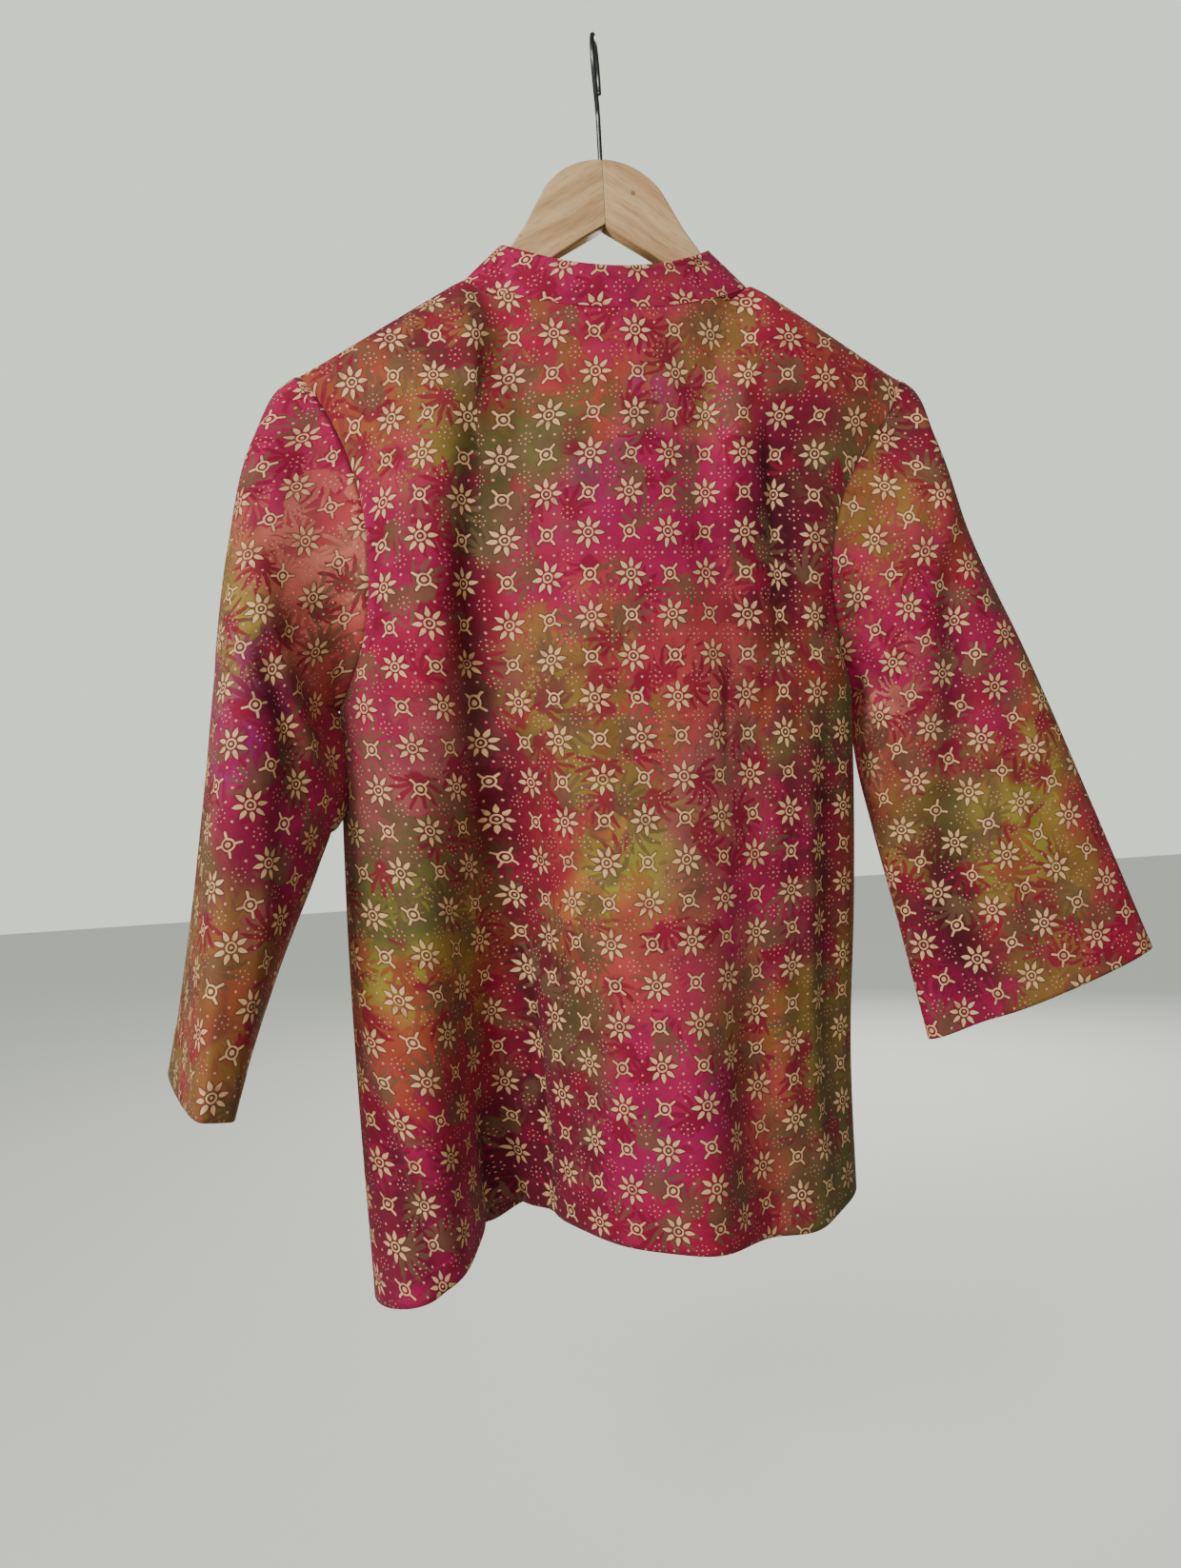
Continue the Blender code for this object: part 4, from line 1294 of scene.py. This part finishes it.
def makeArm(name, node, side, material):
    outline = [(side * (x + wood["mitreGap"] / 2), z) for x, z in woodOutline()]
    count = len(outline)
    vertices = [(x, y, z) for y in (-wood["halfThick"], wood["halfThick"]) for x, z in outline]
    faces = [tuple(range(count)), tuple(range(2 * count - 1, count - 1, -1))]
    faces += [(i, i + count, (i + 1) % count + count, (i + 1) % count) for i in range(count)]
    if side < 0:
        faces = [face[::-1] for face in faces]
    arm = addShell(name, node, vertices, faces)
    edge = arm.modifiers.new("Eased edges", "BEVEL")
    edge.width = wood["easing"]
    edge.segments = 4
    edge.limit_method = "WEIGHT"
    weights = arm.data.attributes.new("bevel_weight_edge", "FLOAT", "EDGE")
    for line, weight in zip(arm.data.edges, weights.data):
        ends = [arm.data.vertices[i].co for i in line.vertices]
        level = abs(ends[0].y - ends[1].y) < 1e-6
        atMitre = max(abs(end.x) for end in ends) < wood["mitreGap"]
        weight.value = 1.0 if level and not atMitre else 0.0
    arm.modifiers.new("Even shading", "WEIGHTED_NORMAL").keep_sharp = True
    arm.data.materials.append(material)


hookPlan = {
    "inside": 0.019,
    "wire": 0.0016,
    "swivel": 16.0,
    "sides": 20,
    "turn": (195.0, -32.0),
    "turnSteps": 72,
    "neck": [(0.0110, -0.0385), (0.0050, -0.0430), (0.0012, -0.0490), (0.0, -0.0570)],
    "neckSteps": 30,
    "stem": (-0.060, 0.0004, 8),  # its top, how far it goes into the wood, and its steps
    "rounding": (6, 2, 4),  # passes, and the points left alone after the turn and at the end
}
plating = {
    "name": "platedWire",
    "clouds": (260.0, 3.0),
    "spread": (0.45, 0.75),
    "tones": ((0.115, 0.118, 0.122, 1.0), (0.085, 0.085, 0.088, 1.0)),
    "roughness": (0.34, 0.40),
    "stretch": (1.0, 1.0, 0.15),
    "grain": (1800.0, 2.0),
    "bump": 0.015,
    "metallic": 1.0,
}


def makeHook():
    radius = hookPlan["inside"] + hookPlan["wire"]
    turns = np.radians(np.linspace(*hookPlan["turn"], hookPlan["turnSteps"]))
    flat = [(radius * math.cos(a), radius * math.sin(a) - hookPlan["inside"]) for a in turns]
    outs, drops = np.transpose([flat.pop()] + hookPlan["neck"])
    steps = np.linspace(0, len(outs) - 1, hookPlan["neckSteps"])
    flat += zip(np.interp(steps, range(len(outs)), outs), np.interp(steps, range(len(outs)), drops))
    stemTop, sunk, stemSteps = hookPlan["stem"]
    flat += [(0.0, z) for z in np.linspace(stemTop, wood["crown"][1] - sunk, stemSteps)]
    swivel = math.radians(hookPlan["swivel"])
    path = np.array([(out * math.sin(swivel), out * math.cos(swivel), z) for out, z in flat])
    # The neck's corners are rounded, from just under the turn to the stem.
    passes, skip, spare = hookPlan["rounding"]
    first, last = hookPlan["turnSteps"] + skip, len(path) - spare
    for _ in range(passes):
        before, after = path[first - 1 : last - 1], path[first + 1 : last + 1]
        path[first:last] = (before + 2 * path[first:last] + after) / 4
    vertices, faces = tube(path, hookPlan["wire"], hookPlan["sides"])
    piece = addShell("wireHook", "hook", vertices, faces)
    piece.data.materials.append(makeCloudy(plating))


varnished = makeWood()
makeArm("armLeft", "hanger_arm_left", 1, varnished)
makeArm("armRight", "hanger_arm_right", -1, varnished)
makeHook()
print("stage: hanger and hook")


# Buttons, each a turned disc with a dished middle, four holes and a cross of thread
button = {
    "radius": 0.0057,
    "halfThick": 0.0011,
    "segments": 64,
    "profile": [  # share of the radius, height as a share of the half thickness
        (0.06, 0.42), (0.14, 0.42), (0.22, 0.42), (0.28, 0.42), (0.34, 0.42), (0.40, 0.44), (0.47, 0.50),
        (0.54, 0.62), (0.62, 0.78), (0.70, 0.90), (0.78, 0.98), (0.86, 1.00), (0.92, 0.92), (0.97, 0.66),
        (1.00, 0.20), (0.99, -0.50), (0.95, -0.90), (0.86, -1.00), (0.40, -1.00),
    ],
    "holeAt": 0.00125,
    "holeRadius": 0.00062,
    "holeEdge": (1.25, 0.5),
    "holeDepth": 1.1,
    "middle": 0.42,
    "thread": 0.00026,
    "stitch": (0.80, 0.75),
}
resin = {
    "name": "buttonResin",
    "clouds": (420.0, 4.0),
    "spread": (0.35, 0.65),
    "tones": (tone(112, 22, 46), tone(150, 40, 66)),
    "roughness": (0.22, 0.38),
    "stretch": (1.0, 1.0, 1.0),
    "grain": (1500.0, 2.0),
    "bump": 0.10,
    "metallic": 0.0,
}
thread = {
    "name": "buttonThread",
    "clouds": (5200.0, 2.0),
    "spread": (0.3, 0.7),
    "tones": (tone(120, 30, 56), tone(170, 62, 88)),
    "roughness": (0.75, 0.92),
    "stretch": (1.0, 1.0, 1.0),
    "grain": (5200.0, 2.0),
    "bump": 0.5,
    "metallic": 0.0,
}


def buttonShape():
    turns = np.linspace(0, 2 * math.pi, button["segments"], endpoint=False)
    holes = [(button["holeAt"] * a, button["holeAt"] * b) for a in (-1, 1) for b in (-1, 1)]
    thick, depth = button["halfThick"], button["holeDepth"] * button["halfThick"]
    rim, soft = button["holeEdge"]
    vertices = [(0.0, 0.0, button["middle"] * thick)]
    for share, height in button["profile"]:
        for t in turns:
            x, y = button["radius"] * share * math.cos(t), button["radius"] * share * math.sin(t)
            z = height * thick
            if height > 0:
                near = min(math.hypot(x - a, y - b) for a, b in holes) / button["holeRadius"]
                z -= depth * float(ease((rim - near) / soft))
            vertices.append((x, y, z))
    count = len(turns)
    faces = [(0, 1 + j, 1 + (j + 1) % count) for j in range(count)]
    for i in range(len(button["profile"]) - 1):
        for j in range(count):
            k = (j + 1) % count
            a, b = 1 + i * count, 1 + (i + 1) * count
            faces.append((a + j, b + j, b + k, a + k))
    last = 1 + (len(button["profile"]) - 1) * count
    faces.append(tuple(last + j for j in range(count))[::-1])
    return vertices, faces


def makeButtons():
    looks = [makeCloudy(resin), makeCloudy(thread)]
    reach, thick = button["holeAt"], button["halfThick"]
    raised, bent = button["stitch"]
    steps = np.linspace(-1.0, 1.0, 9)
    for number in range(1, 8):
        node = f"button_{number}"
        corners = np.array([tuple(v.co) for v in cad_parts[node].data.vertices])
        middle = (corners.min(axis=0) + corners.max(axis=0)) / 2
        normal = np.linalg.svd(corners - corners.mean(axis=0))[2][-1]
        normal *= -np.sign(normal[1])
        turn = Vector(normal).to_track_quat("Z", "Y").to_matrix()
        vertices, faces = buttonShape()
        rounded = len(faces)
        for away in (-1, 1):
            path = [(reach * s * away, reach * s, thick * (raised - bent * s * s)) for s in steps]
            more, around = tube(path, button["thread"], 10)
            faces += [tuple(i + len(vertices) for i in face) for face in around]
            vertices = vertices + [tuple(v) for v in more]
        placed = [turn @ Vector(v) + Vector(middle) for v in vertices]
        piece = addShell(f"sewnButton{number}", node, placed, faces)
        for look in looks:
            piece.data.materials.append(look)
        for face in piece.data.polygons[rounded:]:
            face.material_index = 1


makeButtons()
print("stage: buttons")


# Floor, light and camera
stagePlan = {
    "floorZ": -1.15,
    "floorSize": 12.0,
    "floorColour": tone(170, 169, 160),
    "floorRoughness": 0.8,
    "glow": (1.02, 1.10, 0.96, 1.0),
    "seen": 1.0,
    "floorGlow": 0.40,
    "felt": 0.13,
    "aim": (0.0, 0.0, -0.45),
}


def cameraRay(tree):
    return Field(addNode(tree, "LightPath").outputs["Is Camera Ray"])


def makeFloor():
    mesh = bmesh.new()
    bmesh.ops.create_grid(mesh, x_segments=2, y_segments=2, size=stagePlan["floorSize"] / 2)
    made = bpy.data.meshes.new("floor")
    mesh.to_mesh(made)
    mesh.free()
    floor = bpy.data.objects.new("floor", made)
    floor.location = (0.0, 0.0, stagePlan["floorZ"])
    bpy.context.scene.collection.objects.link(floor)
    paint, tree, shader = newMaterial("floorPaint")
    glow = cameraRay(tree) * stagePlan["floorGlow"]
    for key, value in (
        ("Base Color", stagePlan["floorColour"]), ("Roughness", stagePlan["floorRoughness"]),
        ("Emission Color", stagePlan["glow"]), ("Emission Strength", glow),
    ):
        plug(value, shader[key])
    made.materials.append(paint)


lights = {
    "key": {"at": (1.40, 1.40, 0.45), "size": 0.7, "power": 53.0},
    "fill": {"at": (0.5, 2.0, 0.1), "size": 1.4, "power": 16.0},
    "behind": {"at": (-1.1, -2.0, 0.3), "size": 1.2, "power": 70.0},
}


def makeLights():
    for name, plan in lights.items():
        data = bpy.data.lights.new(name, "AREA")
        data.size = plan["size"]
        data.energy = plan["power"]
        light = bpy.data.objects.new(name, data)
        light.location = plan["at"]
        way = Vector(stagePlan["aim"]) - Vector(plan["at"])
        light.rotation_euler = way.to_track_quat("-Z", "Y").to_euler()
        bpy.context.scene.collection.objects.link(light)
    world = bpy.data.worlds.new("studio")
    world.use_nodes = True
    # The studio looks pale all round, and its own glow on the cloth is weak.
    glow = world.node_tree.nodes["Background"].inputs
    plug(stagePlan["glow"], glow["Color"])
    seen, felt = stagePlan["seen"], stagePlan["felt"]
    plug(calc("MULTIPLY_ADD", cameraRay(world.node_tree), seen - felt, felt), glow["Strength"])
    bpy.context.scene.world = world


view = {
    "at": (0.1642, 0.7886, -0.506),
    "yaw": math.radians(9.7),
    "roll": math.radians(3.0),
    "lens": 27.04,
    "sensor": 36.0,
}


def makeCamera():
    data = bpy.data.cameras.new("camera")
    data.sensor_fit = "VERTICAL"
    data.sensor_height = view["sensor"]
    data.lens = view["lens"]
    camera = bpy.data.objects.new("camera", data)
    level = Vector((-math.cos(view["yaw"]), math.sin(view["yaw"]), 0.0))
    ahead = Vector((-math.sin(view["yaw"]), -math.cos(view["yaw"]), 0.0))
    up = Vector((0.0, 0.0, 1.0))
    right = level * math.cos(view["roll"]) - up * math.sin(view["roll"])
    above = level * math.sin(view["roll"]) + up * math.cos(view["roll"])
    turn = Matrix((right, above, -ahead)).transposed()
    camera.matrix_world = Matrix.Translation(view["at"]) @ turn.to_4x4()
    bpy.context.scene.collection.objects.link(camera)
    bpy.context.scene.camera = camera


makeFloor()
makeLights()
makeCamera()
print("stage: scene made")
